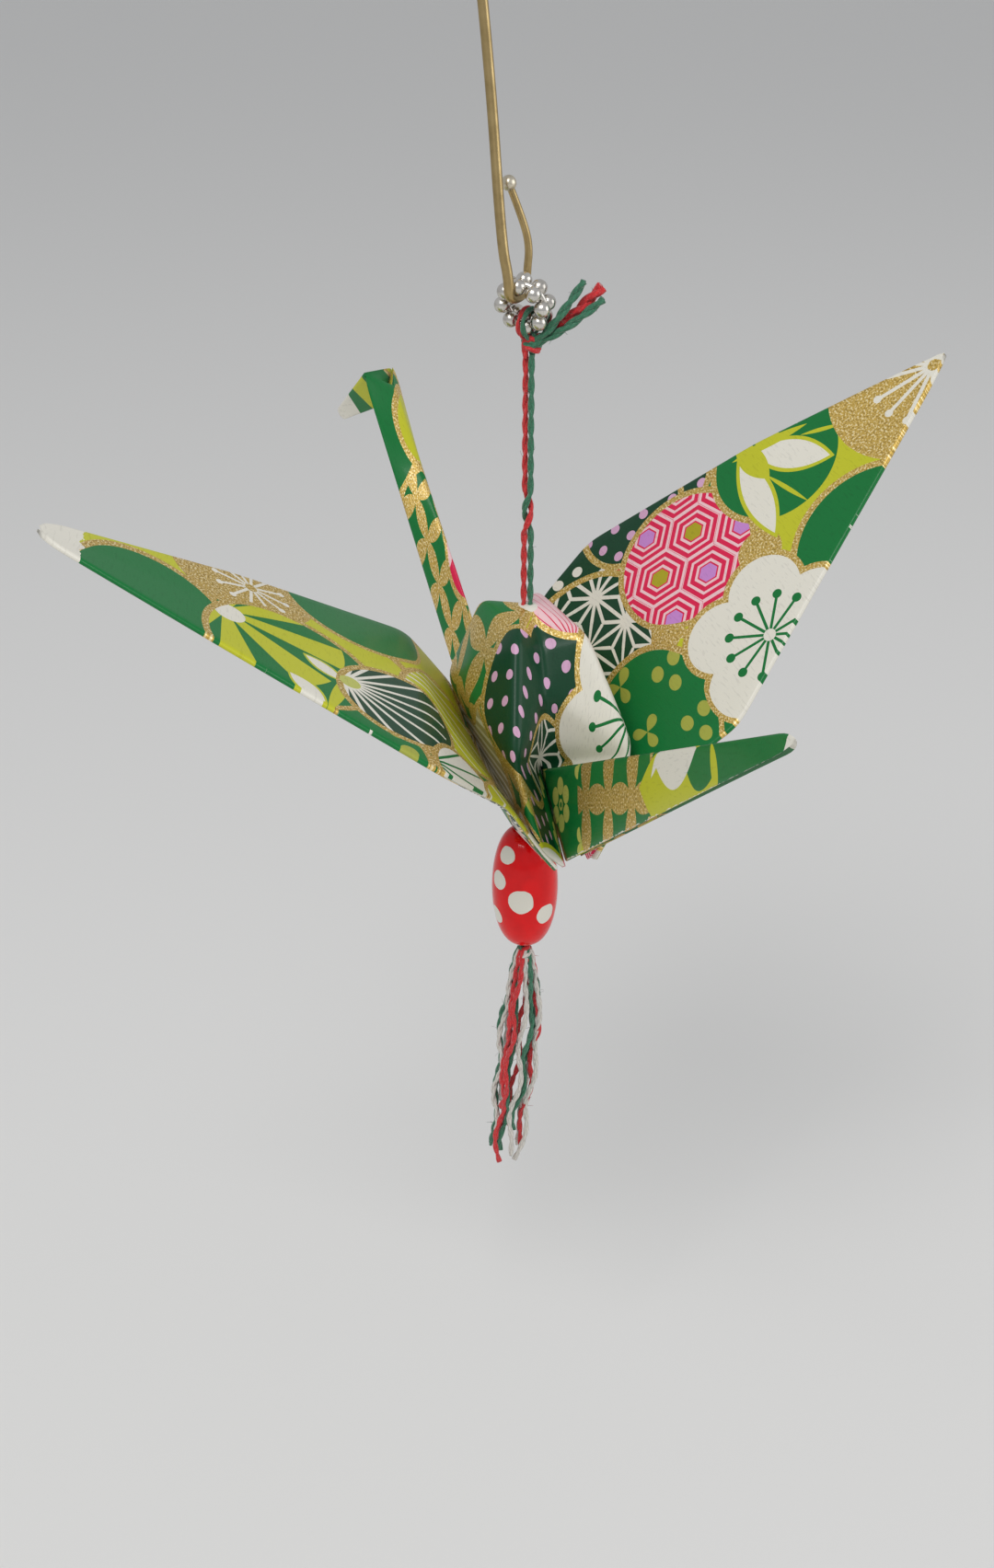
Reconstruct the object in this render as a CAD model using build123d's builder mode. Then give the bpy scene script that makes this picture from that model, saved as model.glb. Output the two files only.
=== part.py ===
"""Folded paper crane ornament on a thread, with its bead, tassel, spacer ring and wire hook.

Millimetres. +X is the way the crane flies (head), +Y its left wing, +Z up.
The origin is the inside top of the hook, where it hangs, so everything is below it.
"""
import os
from math import cos, pi, radians, sin, sqrt, tan

from build123d import *

os.makedirs("parts", exist_ok=True)

# Sheet and paper
SHEET = 100.0            # side of the square sheet
LAYER = 0.15             # one lacquered layer
WING_LAYERS = 3
HUMP_LAYERS = 2
TIP_CUT = 1.3            # wing tips are worn blunt by this much

# Fold angles, degrees: yaw toes the tail end outward, pitch lifts the neck end
LEFT_WING = dict(side=1, root=(-5.3, 10.8, 12.1), yaw=11.4, pitch=1.0, slope=27.8)
RIGHT_WING = dict(side=-1, root=(-0.4, -11.8, 13.1), yaw=4.3, pitch=15.0, slope=45.3)
CREASE_LIFT = 0.5        # middle crease of a wing stands this proud
EDGE_CURL = 0.9          # neck-side edge of a wing lifts this far halfway along

# Thread: bare below the crane's back, knotted to the ring
THREAD_D = 1.06          # two twisted strands
THREAD_RUN = 20.4        # from the crane's back up to the knot
PASS_CLEAR = 0.06        # thread to the holes it runs through
STRAND_D = 0.56          # one strand
KNOT_D = 1.7
LOOP_CLEAR = 0.16        # knot to the ball that its loop holds
KNOT_TAIL_D = 0.8
KNOT_TAILS = ((3.9, 4.2), (5.5, 3.7))   # how far each cut end reaches: sideways, up

# Bead under the crane, and the tassel under the bead
BEAD_D = 5.8
BEAD_L = 11.2
SEAT_CLEAR = 0.25        # bead to the crane's keel, and to the tassel's knot
TASSEL_L = 23.6
TASSEL_KNOT_D = 2.2
TASSEL_STRANDS = 9
TASSEL_SPREAD = 1.75     # radius of the bundle at its widest
TASSEL_LEAN = 1.7        # how far the cut ends trail to one side

# Granulated ring: balls side by side round a hole
RING_BALLS = 8
RING_BALL_D = 1.36
RING_OVERLAP = 0.04      # neighbouring balls are soldered this deep
RING_TURN = -30.0        # yaw of the ring from the hook's plane, degrees
RING_TILT = 22.0         # the ring's top leans this far out of upright, degrees

# Wire hook
WIRE_D = 0.8
WIRE_BALL_D = 1.2
WIRE_CLEAR = 0.12        # wire to the ring's balls
EYE_LIMB = 8.2           # height of the short limb that ends in a ball
HOOK_RISE = 42.0         # bottom of the small bend to the inside top of the hook
HOOK_R = 4.6             # centreline radius of the hook's arc
HOOK_DROP = 6.5          # how far the hook's free end comes down again
HOOK_TURN = 20.0         # yaw of the hook's plane from the wings' line, degrees

# Body in sheet shares of a 100 mm sheet: thread axis at x = y = 0, heights over the body level
FOLD = SHEET / 100.0
APEX = 16.8              # top of the hump
KEEL = -3.6              # lowest edge of the body
TAIL_TIP = (-47.0, 0.6, 25.0)
NECK_TOP = (23.0, 3.7, 29.2)
BEAK_TIP = (31.0, 6.7, 25.2)

# Heights that follow, from the crane's body level up to the hook
WING_T = WING_LAYERS * LAYER
KEEL_HALF = THREAD_D / 2 + PASS_CLEAR + WING_T / 2 + 0.1
RING_R = (RING_BALL_D - RING_OVERLAP) / (2 * sin(pi / RING_BALLS))
LOOP_R = RING_BALL_D / 2 + STRAND_D / 2 + WIRE_CLEAR
KNOT_LOW = APEX * FOLD + THREAD_RUN
KNOT_Z = KNOT_LOW + 0.4 * KNOT_D
BAND_Z = KNOT_Z + KNOT_D / 2 + RING_BALL_D / 2 + LOOP_CLEAR
RING_Z = BAND_Z + RING_R * cos(radians(RING_TILT))
HOOK_TOP = RING_Z + HOOK_RISE
BEAD_TOP = KEEL * FOLD - SEAT_CLEAR

# Flat pattern of the bird base, as shares of the sheet: p across, q up from the leg tips
NARROW = tan(radians(11.25))
FLAP = tan(radians(22.5))
Q_X = FLAP / (FLAP + NARROW)
P_X = Q_X * NARROW
WING_LONG = (1.0 - Q_X) * SHEET
WING_HALF = P_X * SHEET


def v(x, y, z):
    """A point of the folded crane, put in the part's own frame."""
    return Vector(x * FOLD, y * FOLD, z * FOLD - HOOK_TOP)


def wing_axes(side, yaw, pitch, slope):
    """Unit vectors of a wing plane: toward the tail, and from the root to the tip."""
    g, k, a = radians(yaw), radians(pitch), radians(slope)
    along = Vector(-cos(g) * cos(k), side * sin(g) * cos(k), -sin(k))
    out = Vector(0, side, 0)
    out = (out - along * out.dot(along)).normalized()
    up = along.cross(out)
    if up.Z < 0:
        up = up * -1
    return along, out * cos(a) + up * sin(a)


def polyhedron(points, corners):
    """One closed solid from named points and the corners of its flat faces."""
    faces = [Face(Wire.make_polygon([points[i] for i in c], close=True)) for c in corners]
    solid = Solid(Shell(faces))
    return solid.fix()


def grain(radius, sides=10, bands=6):
    """A small ball with flat facets, for the beads of the ring and the knots."""
    pts = {"top": Vector(0, 0, radius), "low": Vector(0, 0, -radius)}
    for band in range(1, bands):
        tilt = pi * band / bands
        for k in range(sides):
            turn = 2 * pi * k / sides
            pts[(band, k)] = Vector(sin(tilt) * cos(turn), sin(tilt) * sin(turn), cos(tilt)) * radius
    faces = []
    for k in range(sides):
        m = (k + 1) % sides
        faces.append(("top", (1, k), (1, m)))
        faces.append(("low", (bands - 1, m), (bands - 1, k)))
        for band in range(1, bands - 1):
            faces.append(((band, k), (band + 1, k), (band + 1, m), (band, m)))
    return polyhedron(pts, faces)


def slab(points, triangles, thickness):
    """A folded sheet: the triangles of its middle surface, given a thickness."""
    normals = {name: [] for name in points}
    for t in triangles:
        a, b, c = (points[i] for i in t)
        n = (b - a).cross(c - a).normalized()
        for i in t:
            normals[i].append(n)
    top, low = {}, {}
    for name, group in normals.items():
        total = Vector(0, 0, 0)
        for n in group:
            total = total + n
        mean = total.normalized()
        least = min(max(mean.dot(n), 0.5) for n in group)
        shift = mean * (0.5 * thickness / least)
        top[name + "+"] = points[name] + shift
        low[name + "-"] = points[name] - shift
    faces = [tuple(i + "+" for i in t) for t in triangles]
    faces += [tuple(i + "-" for i in reversed(t)) for t in triangles]
    edges = {}
    for t in triangles:
        for a, b in ((t[0], t[1]), (t[1], t[2]), (t[2], t[0])):
            edges[(a, b)] = edges.get((a, b), 0) + 1
    for a, b in edges:
        if (b, a) not in edges:
            faces.append((a + "+", a + "-", b + "-"))
            faces.append((a + "+", b + "-", b + "+"))
    return polyhedron({**top, **low}, faces)


def shell(spec, hinge_tail, hinge_neck, keel_tail, keel_neck, bend_tail, bend_neck):
    """One side of the crane: wing, body side and keel, as one folded slab."""
    side = spec["side"]
    along, rise = wing_axes(side, spec["yaw"], spec["pitch"], spec["slope"])
    face = along.cross(rise).normalized()
    if face.Z < 0:
        face = face * -1
    root = v(*spec["root"])
    tip = root + rise * WING_LONG
    cut = TIP_CUT / (2 * cos(radians(22.5)))
    edge_tail = (root + along * WING_HALF - tip).normalized()
    edge_neck = (root - along * WING_HALF - tip).normalized()
    tail_edge = root + along * WING_HALF
    neck_edge = root - along * WING_HALF
    pts = dict(
        tip=tip + rise * -0.45,
        tip_tail=tip + edge_tail * (cut + 0.55),
        tip_neck=tip + edge_neck * (cut + 0.55),
        half=(tip + root) * 0.5 + face * (0.6 * CREASE_LIFT),
        half_tail=(tip + tail_edge) * 0.5,
        half_neck=(tip + neck_edge) * 0.5 + face * EDGE_CURL,
        root=root + face * CREASE_LIFT,
        root_tail=tail_edge,
        root_neck=neck_edge,
        bend_tail=v(*bend_tail),
        bend_neck=v(*bend_neck),
        hinge_tail=v(*hinge_tail),
        hinge_neck=v(*hinge_neck),
        hinge=(v(*hinge_tail) + v(*hinge_neck)) * 0.5,
        keel_tail=v(*keel_tail),
        keel_neck=v(*keel_neck),
        keel=Vector(0, side * KEEL_HALF, KEEL * FOLD - HOOK_TOP),
    )
    tri = [
        ("tip", "tip_tail", "half_tail"), ("tip", "half_tail", "half"),
        ("tip", "half", "half_neck"), ("tip", "half_neck", "tip_neck"),
        ("half", "half_tail", "root_tail"), ("half", "root_tail", "root"),
        ("half", "root", "root_neck"), ("half", "root_neck", "half_neck"),
        ("root", "root_tail", "bend_tail"), ("root", "bend_tail", "hinge"),
        ("root", "hinge", "bend_neck"), ("root", "bend_neck", "root_neck"),
        ("bend_tail", "hinge_tail", "hinge"), ("bend_neck", "hinge", "hinge_neck"),
        ("hinge", "hinge_tail", "keel_tail"), ("hinge", "keel_tail", "keel"),
        ("hinge", "keel", "keel_neck"), ("hinge", "keel_neck", "hinge_neck"),
    ]
    if side < 0:
        tri = [(a, c, b) for a, b, c in tri]
    return slab(pts, tri, WING_T), pts, face


# Points shared by the shells and the hump
HINGE_TL, HINGE_NL = (-10.7, 2.8, -0.3), (8.6, 2.6, 0.4)
HINGE_TR, HINGE_NR = (-10.2, -3.4, 0.0), (9.6, -2.8, 0.4)
KEEL_TL, KEEL_NL = (-9.5, 1.0, -2.8), (7.4, 1.1, -2.2)
KEEL_TR, KEEL_NR = (-9.0, -2.7, -2.8), (8.2, -1.2, -2.2)
BEND_TL, BEND_NL = (-13.0, 6.6, 5.5), (8.6, 5.2, 6.0)
BEND_TR, BEND_NR = (-12.0, -7.0, 5.0), (10.6, -6.6, 6.6)

with BuildPart() as crane:
    left, left_pts, left_face = shell(LEFT_WING, HINGE_TL, HINGE_NL, KEEL_TL, KEEL_NL, BEND_TL, BEND_NL)
    right, right_pts, right_face = shell(RIGHT_WING, HINGE_TR, HINGE_NR, KEEL_TR, KEEL_NR, BEND_TR, BEND_NR)
    add(left)
    add(right)

    # Hump: a blown-up square round the middle of the sheet, a valley at each end
    hump_pts = dict(
        o=v(0, 0, APEX),
        rtl=v(-4.6, 2.7, 15.6), rtr=v(-5.0, -3.4, 15.3), rnl=v(4.6, 2.5, 15.8), rnr=v(5.0, -2.9, 15.8),
        ytl=v(-9.4, 4.6, 7.2), ytr=v(-9.4, -6.0, 6.4), ynl=v(8.4, 4.2, 8.0), ynr=v(9.8, -5.2, 8.0),
        cl=v(-0.3, 5.4, 9.6), cr=v(0.2, -6.2, 9.6),
        htl=v(*HINGE_TL), hnl=v(*HINGE_NL), htr=v(*HINGE_TR), hnr=v(*HINGE_NR),
        hl=left_pts["hinge"], hr=right_pts["hinge"],
        vt1=v(-3.2, 0.0, 14.2), vt2=v(-4.9, 0.2, 11.0), vt3=v(-4.0, 0.0, 6.4), st=v(-2.4, -0.2, 3.2),
        vn1=v(3.4, 0.0, 14.4), vn2=v(5.0, 0.0, 11.0), vn3=v(4.2, 0.0, 7.0), sn=v(2.6, 0.0, 3.6),
    )
    hump_tri = [
        ("o", "rtl", "vt1"), ("rtl", "vt2", "vt1"), ("rtl", "ytl", "vt2"), ("ytl", "vt3", "vt2"),
        ("ytl", "st", "vt3"), ("ytl", "htl", "st"),
        ("o", "vt1", "rtr"), ("vt1", "vt2", "rtr"), ("vt2", "ytr", "rtr"), ("vt2", "vt3", "ytr"),
        ("vt3", "st", "ytr"), ("st", "htr", "ytr"),
        ("o", "rnl", "rtl"), ("rtl", "rnl", "cl"), ("rtl", "cl", "ytl"), ("rnl", "ynl", "cl"),
        ("ytl", "cl", "hl"), ("ytl", "hl", "htl"), ("cl", "ynl", "hl"), ("ynl", "hnl", "hl"),
        ("o", "rtr", "rnr"), ("rtr", "cr", "rnr"), ("rtr", "ytr", "cr"), ("rnr", "cr", "ynr"),
        ("ytr", "hr", "cr"), ("ytr", "htr", "hr"), ("cr", "hr", "ynr"), ("ynr", "hr", "hnr"),
        ("o", "vn1", "rnl"), ("rnl", "vn1", "vn2"), ("rnl", "vn2", "ynl"), ("ynl", "vn2", "vn3"),
        ("ynl", "vn3", "sn"), ("ynl", "sn", "hnl"),
        ("o", "rnr", "vn1"), ("vn1", "rnr", "vn2"), ("vn2", "rnr", "ynr"), ("vn2", "ynr", "vn3"),
        ("vn3", "ynr", "sn"), ("sn", "ynr", "hnr"),
    ]
    add(slab(hump_pts, hump_tri, HUMP_LAYERS * LAYER))

    # Tail: a narrow leg, its ridge on top and its slit below
    tx, ty, tz = TAIL_TIP
    tail_pts = dict(
        s=v(-2.2, -0.3, 3.4), l=v(-10.0, -0.3, -2.3), r=v(-10.0, -1.7, -2.0), g=v(-8.6, -1.0, 0.4),
        ts=v(tx + 0.3, ty, tz + 0.5), tl=v(tx + 0.2, ty + 0.5, tz - 0.7), tr=v(tx + 0.2, ty - 0.5, tz - 0.7),
        tg=v(tx + 3.0, ty - 0.1, tz - 1.6),
    )
    tail_tri = [
        ("s", "ts", "l"), ("l", "ts", "tl"), ("s", "r", "ts"), ("r", "tr", "ts"),
        ("l", "tl", "g"), ("g", "tl", "tg"), ("r", "g", "tr"), ("g", "tg", "tr"),
        ("ts", "tr", "tl"), ("tl", "tr", "tg"), ("s", "l", "g"), ("s", "g", "r"),
    ]
    add(polyhedron(tail_pts, tail_tri))

    # Neck: the other leg, ridge to the back, open to the front, spread at the head
    nx, ny, nz = NECK_TOP
    neck_pts = dict(
        s=v(2.6, 0.1, 3.8), l=v(8.6, 0.9, -1.8), r=v(9.0, -0.9, -1.8), g=v(7.4, 0.1, 1.0),
        ts=v(nx, ny, nz), tl=v(nx - 0.4, ny + 3.4, nz + 2.1), tr=v(nx + 3.0, ny - 0.8, nz + 1.6),
        tg=v(nx + 0.6, ny + 0.6, nz - 0.1),
    )
    neck_tri = [
        ("s", "l", "ts"), ("l", "tl", "ts"), ("s", "ts", "r"), ("r", "ts", "tr"),
        ("l", "g", "tl"), ("g", "tg", "tl"), ("r", "tr", "g"), ("g", "tr", "tg"),
        ("ts", "tl", "tg"), ("ts", "tg", "tr"), ("s", "g", "l"), ("s", "r", "g"),
    ]
    add(polyhedron(neck_pts, neck_tri))

    # Beak: the last of the leg turned forward and down inside the neck
    bx, by, bz = BEAK_TIP
    beak_pts = dict(
        a=v(nx + 0.1, ny + 0.1, nz - 1.2), b=v(nx + 0.2, ny + 3.1, nz + 1.7), c=v(nx + 2.8, ny - 0.5, nz + 1.3),
        ta=v(bx - 0.4, by + 0.1, bz - 0.5), tb=v(bx, by + 0.5, bz + 0.4), tc=v(bx + 0.2, by - 0.4, bz + 0.3),
    )
    beak_tri = [
        ("a", "ta", "b"), ("b", "ta", "tb"), ("b", "tb", "c"), ("c", "tb", "tc"),
        ("c", "tc", "a"), ("a", "tc", "ta"), ("a", "b", "c"), ("ta", "tc", "tb"),
    ]
    add(polyhedron(beak_pts, beak_tri))

    # Needle way for the thread, straight down through the crane
    with BuildSketch(Plane.XY.offset(KEEL * FOLD - 1 - HOOK_TOP)):
        Circle(THREAD_D / 2 + PASS_CLEAR)
    extrude(amount=(APEX - KEEL) * FOLD + 3, mode=Mode.SUBTRACT)
crane.part.label = "folded_crane"

# Directions of the hook: across its plane's face, toward the viewer's side, and up
ACROSS = Vector(-sin(radians(HOOK_TURN)), -cos(radians(HOOK_TURN)), 0)
TOWARD = Vector(-cos(radians(HOOK_TURN)), sin(radians(HOOK_TURN)), 0)
UP = Vector(0, 0, 1)


def at(across, toward, height):
    """A point beside the thread's line, at a height over the crane's body level."""
    return ACROSS * across + TOWARD * toward + UP * (height - HOOK_TOP)


def easy_radii(points):
    """The largest bends that fit a run of points, one radius for each inner corner."""
    radii = []
    for a, b, c in zip(points, points[1:], points[2:]):
        turn = radians((b - a).get_angle(c - b))
        radii.append(0.45 * min((b - a).length, (c - b).length) / tan(turn / 2))
    return radii


# Thread: straight from the knot through the crane and the bead
with BuildPart() as thread:
    thread_low = BEAD_TOP - BEAD_L
    with BuildSketch(Plane.XY.offset(thread_low - HOOK_TOP)):
        Circle(THREAD_D / 2)
    extrude(amount=KNOT_LOW - thread_low)
thread.part.label = "hanging_thread"

# Knot: a loop round the ring's lowest ball, a lump below it, two cut ends
NORMAL_FLAT = TOWARD * cos(radians(RING_TURN)) + ACROSS * sin(radians(RING_TURN))
SIDEWAYS = ACROSS * cos(radians(RING_TURN)) - TOWARD * sin(radians(RING_TURN))
with BuildPart() as knot:
    with BuildSketch(Plane(UP * (BAND_Z - LOOP_R - HOOK_TOP), x_dir=SIDEWAYS, z_dir=NORMAL_FLAT)):
        RegularPolygon(STRAND_D / 2, 6)
    revolve(axis=Axis(UP * (BAND_Z - HOOK_TOP), SIDEWAYS))
    with Locations(at(0, 0, KNOT_Z)):
        add(grain(KNOT_D / 2))
    for order, (reach, rise) in enumerate(KNOT_TAILS):
        beside = KNOT_TAIL_D * (0.55 - 1.1 * order)
        front = RING_BALL_D * 0.65 + beside
        route = [
            at(0.25, beside, KNOT_Z),
            at(0.4 * reach, front, KNOT_Z + 0.3 * rise),
            at(reach, front, KNOT_Z + rise),
        ]
        with BuildLine() as run:
            FilletPolyline(*route, radius=easy_radii(route))
        with BuildSketch(Plane(run.line @ 0, z_dir=run.line % 0)):
            RegularPolygon(KNOT_TAIL_D / 2, 8)
        sweep(path=run.line)
    split(bisect_by=Plane.XY.offset(KNOT_LOW - HOOK_TOP), keep=Keep.TOP)
knot.part.label = "thread_knot"

# Ring: balls round a circle, on a thin band that joins them
RING_UP = UP * cos(radians(RING_TILT)) + NORMAL_FLAT * sin(radians(RING_TILT))
RING_NORMAL = NORMAL_FLAT * cos(radians(RING_TILT)) - UP * sin(radians(RING_TILT))
ring_centre = UP * (BAND_Z - HOOK_TOP) + RING_UP * RING_R
ring_plane = Plane(ring_centre, x_dir=RING_UP * -1, z_dir=RING_NORMAL)
with BuildPart() as ring:
    with BuildSketch(ring_plane):
        Circle(RING_R + 0.25 * RING_BALL_D)
        Circle(RING_R - 0.25 * RING_BALL_D, mode=Mode.SUBTRACT)
    extrude(amount=0.2 * RING_BALL_D, both=True)
    with Locations(ring_plane):
        with PolarLocations(RING_R, RING_BALLS):
            add(grain(RING_BALL_D / 2))
ring.part.label = "bead_ring"

# Hook wire: the small bend lies in the ring, between two of its upper balls
half_step = pi / RING_BALLS
ball_gap = RING_R * sin(half_step)
wire_in = RING_R * cos(half_step) - sqrt((RING_BALL_D / 2 + WIRE_D / 2 + WIRE_CLEAR) ** 2 - ball_gap**2)
bend_low = ring_centre + RING_UP * (wire_in * cos(half_step)) - SIDEWAYS * (wire_in * sin(half_step))
near_limb = RING_BALL_D / 2 + WIRE_D / 2 + 0.8
far_limb = RING_BALL_D / 2 + WIRE_D / 2 - 0.2
long_foot = bend_low + NORMAL_FLAT * near_limb
short_foot = bend_low - NORMAL_FLAT * far_limb
hook_z = WIRE_D / 2
wire_route = [
    short_foot + UP * EYE_LIMB - ACROSS * 1.4,
    short_foot + UP * (0.45 * EYE_LIMB) + ACROSS * 0.2,
    short_foot,
    long_foot,
    long_foot + UP * (0.1 * HOOK_RISE) - ACROSS * 0.55,
    ACROSS * -3.0 + UP * (0.59 * -HOOK_RISE),
    ACROSS * -HOOK_R + UP * (0.25 * -HOOK_RISE),
    ACROSS * -HOOK_R + UP * hook_z,
    ACROSS * HOOK_R + UP * hook_z,
    ACROSS * (HOOK_R + 0.4) + UP * -HOOK_DROP,
]
wire_radii = easy_radii(wire_route)
eye_radius = 0.47 * (near_limb + far_limb)
wire_radii[1] = wire_radii[2] = eye_radius
wire_radii[6] = wire_radii[7] = 0.97 * HOOK_R
with BuildPart() as wire:
    with BuildLine() as wire_line:
        FilletPolyline(*wire_route, radius=wire_radii)
    with BuildSketch(Plane(wire_line.line @ 0, z_dir=wire_line.line % 0)):
        RegularPolygon(WIRE_D / 2, 8)
    sweep(path=wire_line.line)
    with Locations(wire_line.line @ 0):
        add(grain(WIRE_BALL_D / 2))
    with Locations(wire_line.line @ 1):
        add(grain(0.55 * WIRE_D))
wire.part.label = "hook_wire"

# Bead: an oval of tangent arcs turned round the thread, its bore left open
bore_r = THREAD_D / 2 + PASS_CLEAR
shoulder = (0.77 * BEAD_D / 2, 0.64 * BEAD_L / 2)
with BuildPart() as bead:
    with BuildSketch(Plane(at(0, 0, BEAD_TOP - BEAD_L / 2), x_dir=(1, 0, 0), z_dir=(0, -1, 0))):
        with BuildLine():
            side = ThreePointArc((shoulder[0], -shoulder[1]), (BEAD_D / 2, 0), shoulder)
            upper = TangentArc(side @ 1, (bore_r, BEAD_L / 2), tangent=side % 1)
            lower = TangentArc(side @ 0, (bore_r, -BEAD_L / 2), tangent=(side % 0) * -1)
            Line(upper @ 1, lower @ 1)
        make_face()
    revolve(axis=Axis.Z)
bead.part.label = "dotted_bead"

# Tassel: a stop knot under the bead and loose wavy ends below it
tassel_top = BEAD_TOP - BEAD_L - SEAT_CLEAR
with BuildPart() as tassel:
    with Locations(at(0, 0, tassel_top - TASSEL_KNOT_D / 2)):
        add(grain(TASSEL_KNOT_D / 2))
    for k in range(TASSEL_STRANDS):
        turn = 2 * pi * k / TASSEL_STRANDS
        length = TASSEL_L * (1.0 if k % 3 == 0 else 0.9 if k % 3 == 1 else 0.82)
        start = tassel_top - TASSEL_KNOT_D / 2
        route = []
        for step, (share, wide) in enumerate(((0.0, 0.3), (0.2, 0.75), (0.45, 0.92), (0.7, 1.0), (1.0, 0.85))):
            wave = 0.28 * sin(2.4 * k + 2.1 * step) if step else 0.0
            reach = TASSEL_SPREAD * wide + wave
            lean = -TASSEL_LEAN * share**1.5
            route.append(at(
                reach * cos(turn + 0.18 * share) + lean,
                0.8 * reach * sin(turn + 0.18 * share),
                start - share * (length - TASSEL_KNOT_D / 2),
            ))
        with BuildLine() as strand:
            FilletPolyline(*route, radius=easy_radii(route))
        with BuildSketch(Plane(strand.line @ 0, z_dir=strand.line % 0)):
            RegularPolygon(STRAND_D / 2, 6)
        sweep(path=strand.line)
tassel.part.label = "tassel"

for piece in (crane, thread, knot, ring, wire, bead, tassel):
    export_step(piece.part, f"parts/{piece.part.label}.step")
    print(piece.part.label, len(piece.part.solids()), round(piece.part.volume, 2))
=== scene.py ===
# %% [markdown]
# A folded paper crane hangs on a twisted thread, with a dotted bead and a tassel under it.
# The solid model is loaded first and stays fixed, so each piece below is put where its solid is.
# Lengths are written in millimetres, as a maker would, and MM turns them into Blender's metres.

# %% Load the fixed frame
from math import cos, pi, radians, sin, tan

import bpy
import numpy as np
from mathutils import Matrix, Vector


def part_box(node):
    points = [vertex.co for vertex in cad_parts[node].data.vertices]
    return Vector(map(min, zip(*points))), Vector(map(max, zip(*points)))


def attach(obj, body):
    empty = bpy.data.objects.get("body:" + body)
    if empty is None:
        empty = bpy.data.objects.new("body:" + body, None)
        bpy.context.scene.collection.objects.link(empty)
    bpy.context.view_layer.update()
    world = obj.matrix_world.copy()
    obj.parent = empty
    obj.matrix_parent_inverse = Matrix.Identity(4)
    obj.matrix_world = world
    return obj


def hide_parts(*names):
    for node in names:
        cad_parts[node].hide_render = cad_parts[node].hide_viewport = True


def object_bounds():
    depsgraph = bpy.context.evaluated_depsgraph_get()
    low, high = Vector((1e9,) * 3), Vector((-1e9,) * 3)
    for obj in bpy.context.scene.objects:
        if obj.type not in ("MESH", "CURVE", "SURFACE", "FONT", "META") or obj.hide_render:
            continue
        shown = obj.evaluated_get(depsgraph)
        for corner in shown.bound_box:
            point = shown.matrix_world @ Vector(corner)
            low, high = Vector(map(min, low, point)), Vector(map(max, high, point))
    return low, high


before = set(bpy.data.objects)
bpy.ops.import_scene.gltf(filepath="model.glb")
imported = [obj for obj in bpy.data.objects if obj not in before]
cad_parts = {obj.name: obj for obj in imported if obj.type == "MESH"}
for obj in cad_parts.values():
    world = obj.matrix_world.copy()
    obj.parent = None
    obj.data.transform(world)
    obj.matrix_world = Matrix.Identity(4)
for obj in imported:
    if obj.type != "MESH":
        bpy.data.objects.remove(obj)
solid_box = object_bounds()
MM = 0.001
scene = bpy.context.scene
scene.view_settings.view_transform = "Standard"
print("solids:", sorted(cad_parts))

# %% [markdown]
# The picture was taken from behind the tail, a little to the left and above.
# A camera could be aimed with a constraint, but a place and a direction are enough here.
# The sensor's width lies along the picture's long side, so the lens follows from that side alone.

# %% Camera
PHOTO_HEIGHT = 1704
FOCAL_PIXELS = 2078
CAMERA_PLACE = (-137.1, 52.5, -11.2)
CAMERA_LOOK = (0.8446, -0.3074, -0.4384)
lens = bpy.data.cameras.new("photo_camera")
lens.sensor_width = 36.0
lens.lens = lens.sensor_width * FOCAL_PIXELS / PHOTO_HEIGHT
lens.clip_start = 0.005
camera = bpy.data.objects.new("photo_camera", lens)
camera.location = Vector(CAMERA_PLACE) * MM
camera.rotation_euler = Vector(CAMERA_LOOK).to_track_quat("-Z", "Y").to_euler()
scene.collection.objects.link(camera)
scene.camera = camera
print("lens", round(lens.lens, 1), "mm")

# %% [markdown]
# Most pieces are skins: rows of points with faces between them.
# A Shape gathers such rows, and for each corner of a face also a place on a flat map
# and a tint, which the materials read later. Curves with a bevel would be quicker to type,
# but they cannot twist two plies together or carry the sheet's own map.

# %% Shape, the gatherer of skins
class Shape:
    """Points in millimetres and faces between them, with a flat-map place and a tint."""

    def __init__(self):
        self.points = []
        self.faces = []
        self.flat = []
        self.tint = []

    def skin(self, rows, flat, tint=0.0, caps=True):
        """Adds rows of points. Each row is a ring, and caps close the first and the last one."""
        count, wide = rows.shape[:2]
        first = len(self.points)
        last = first + (count - 1) * wide
        self.points.extend(map(tuple, rows.reshape(-1, 3)))
        self.tint.extend(np.broadcast_to(tint, (count, wide)).ravel())
        for r in range(count - 1):
            here = first + r * wide
            for c in range(wide):
                n = (c + 1) % wide
                self.faces.append([here + c, here + n, here + wide + n, here + wide + c])
                self.flat.extend([flat[r, c], flat[r, c + 1], flat[r + 1, c + 1], flat[r + 1, c]])
        if caps:
            self.faces.append([first + c for c in reversed(range(wide))])
            self.flat.extend(flat[0, c] for c in reversed(range(wide)))
            self.faces.append([last + c for c in range(wide)])
            self.flat.extend(flat[-1, c] for c in range(wide))

    def piece(self, name, node, slot):
        """Makes the object, lets it ride on the body and stand for its solid."""
        mesh = bpy.data.meshes.new(name)
        mesh.from_pydata(np.array(self.points) * MM, [], self.faces)
        mesh.uv_layers.new(name="flat").uv.foreach_set("vector", np.array(self.flat, float).ravel())
        mesh.attributes.new("tint", "FLOAT", "POINT").data.foreach_set("value", np.array(self.tint, float))
        mesh.shade_smooth()
        made = bpy.data.objects.new(name, mesh)
        scene.collection.objects.link(made)
        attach(made, "root")
        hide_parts(node)
        print(name, len(mesh.polygons), "faces")
        return made

# %% [markdown]
# Thread, wire and tassel all follow soft lines. The line is a spline that is pulled toward
# a few control points, so it bends as a real strand does, with no straight runs and sharp corners.
# Its points are read back from the spline, and plies are wound round them.

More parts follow.
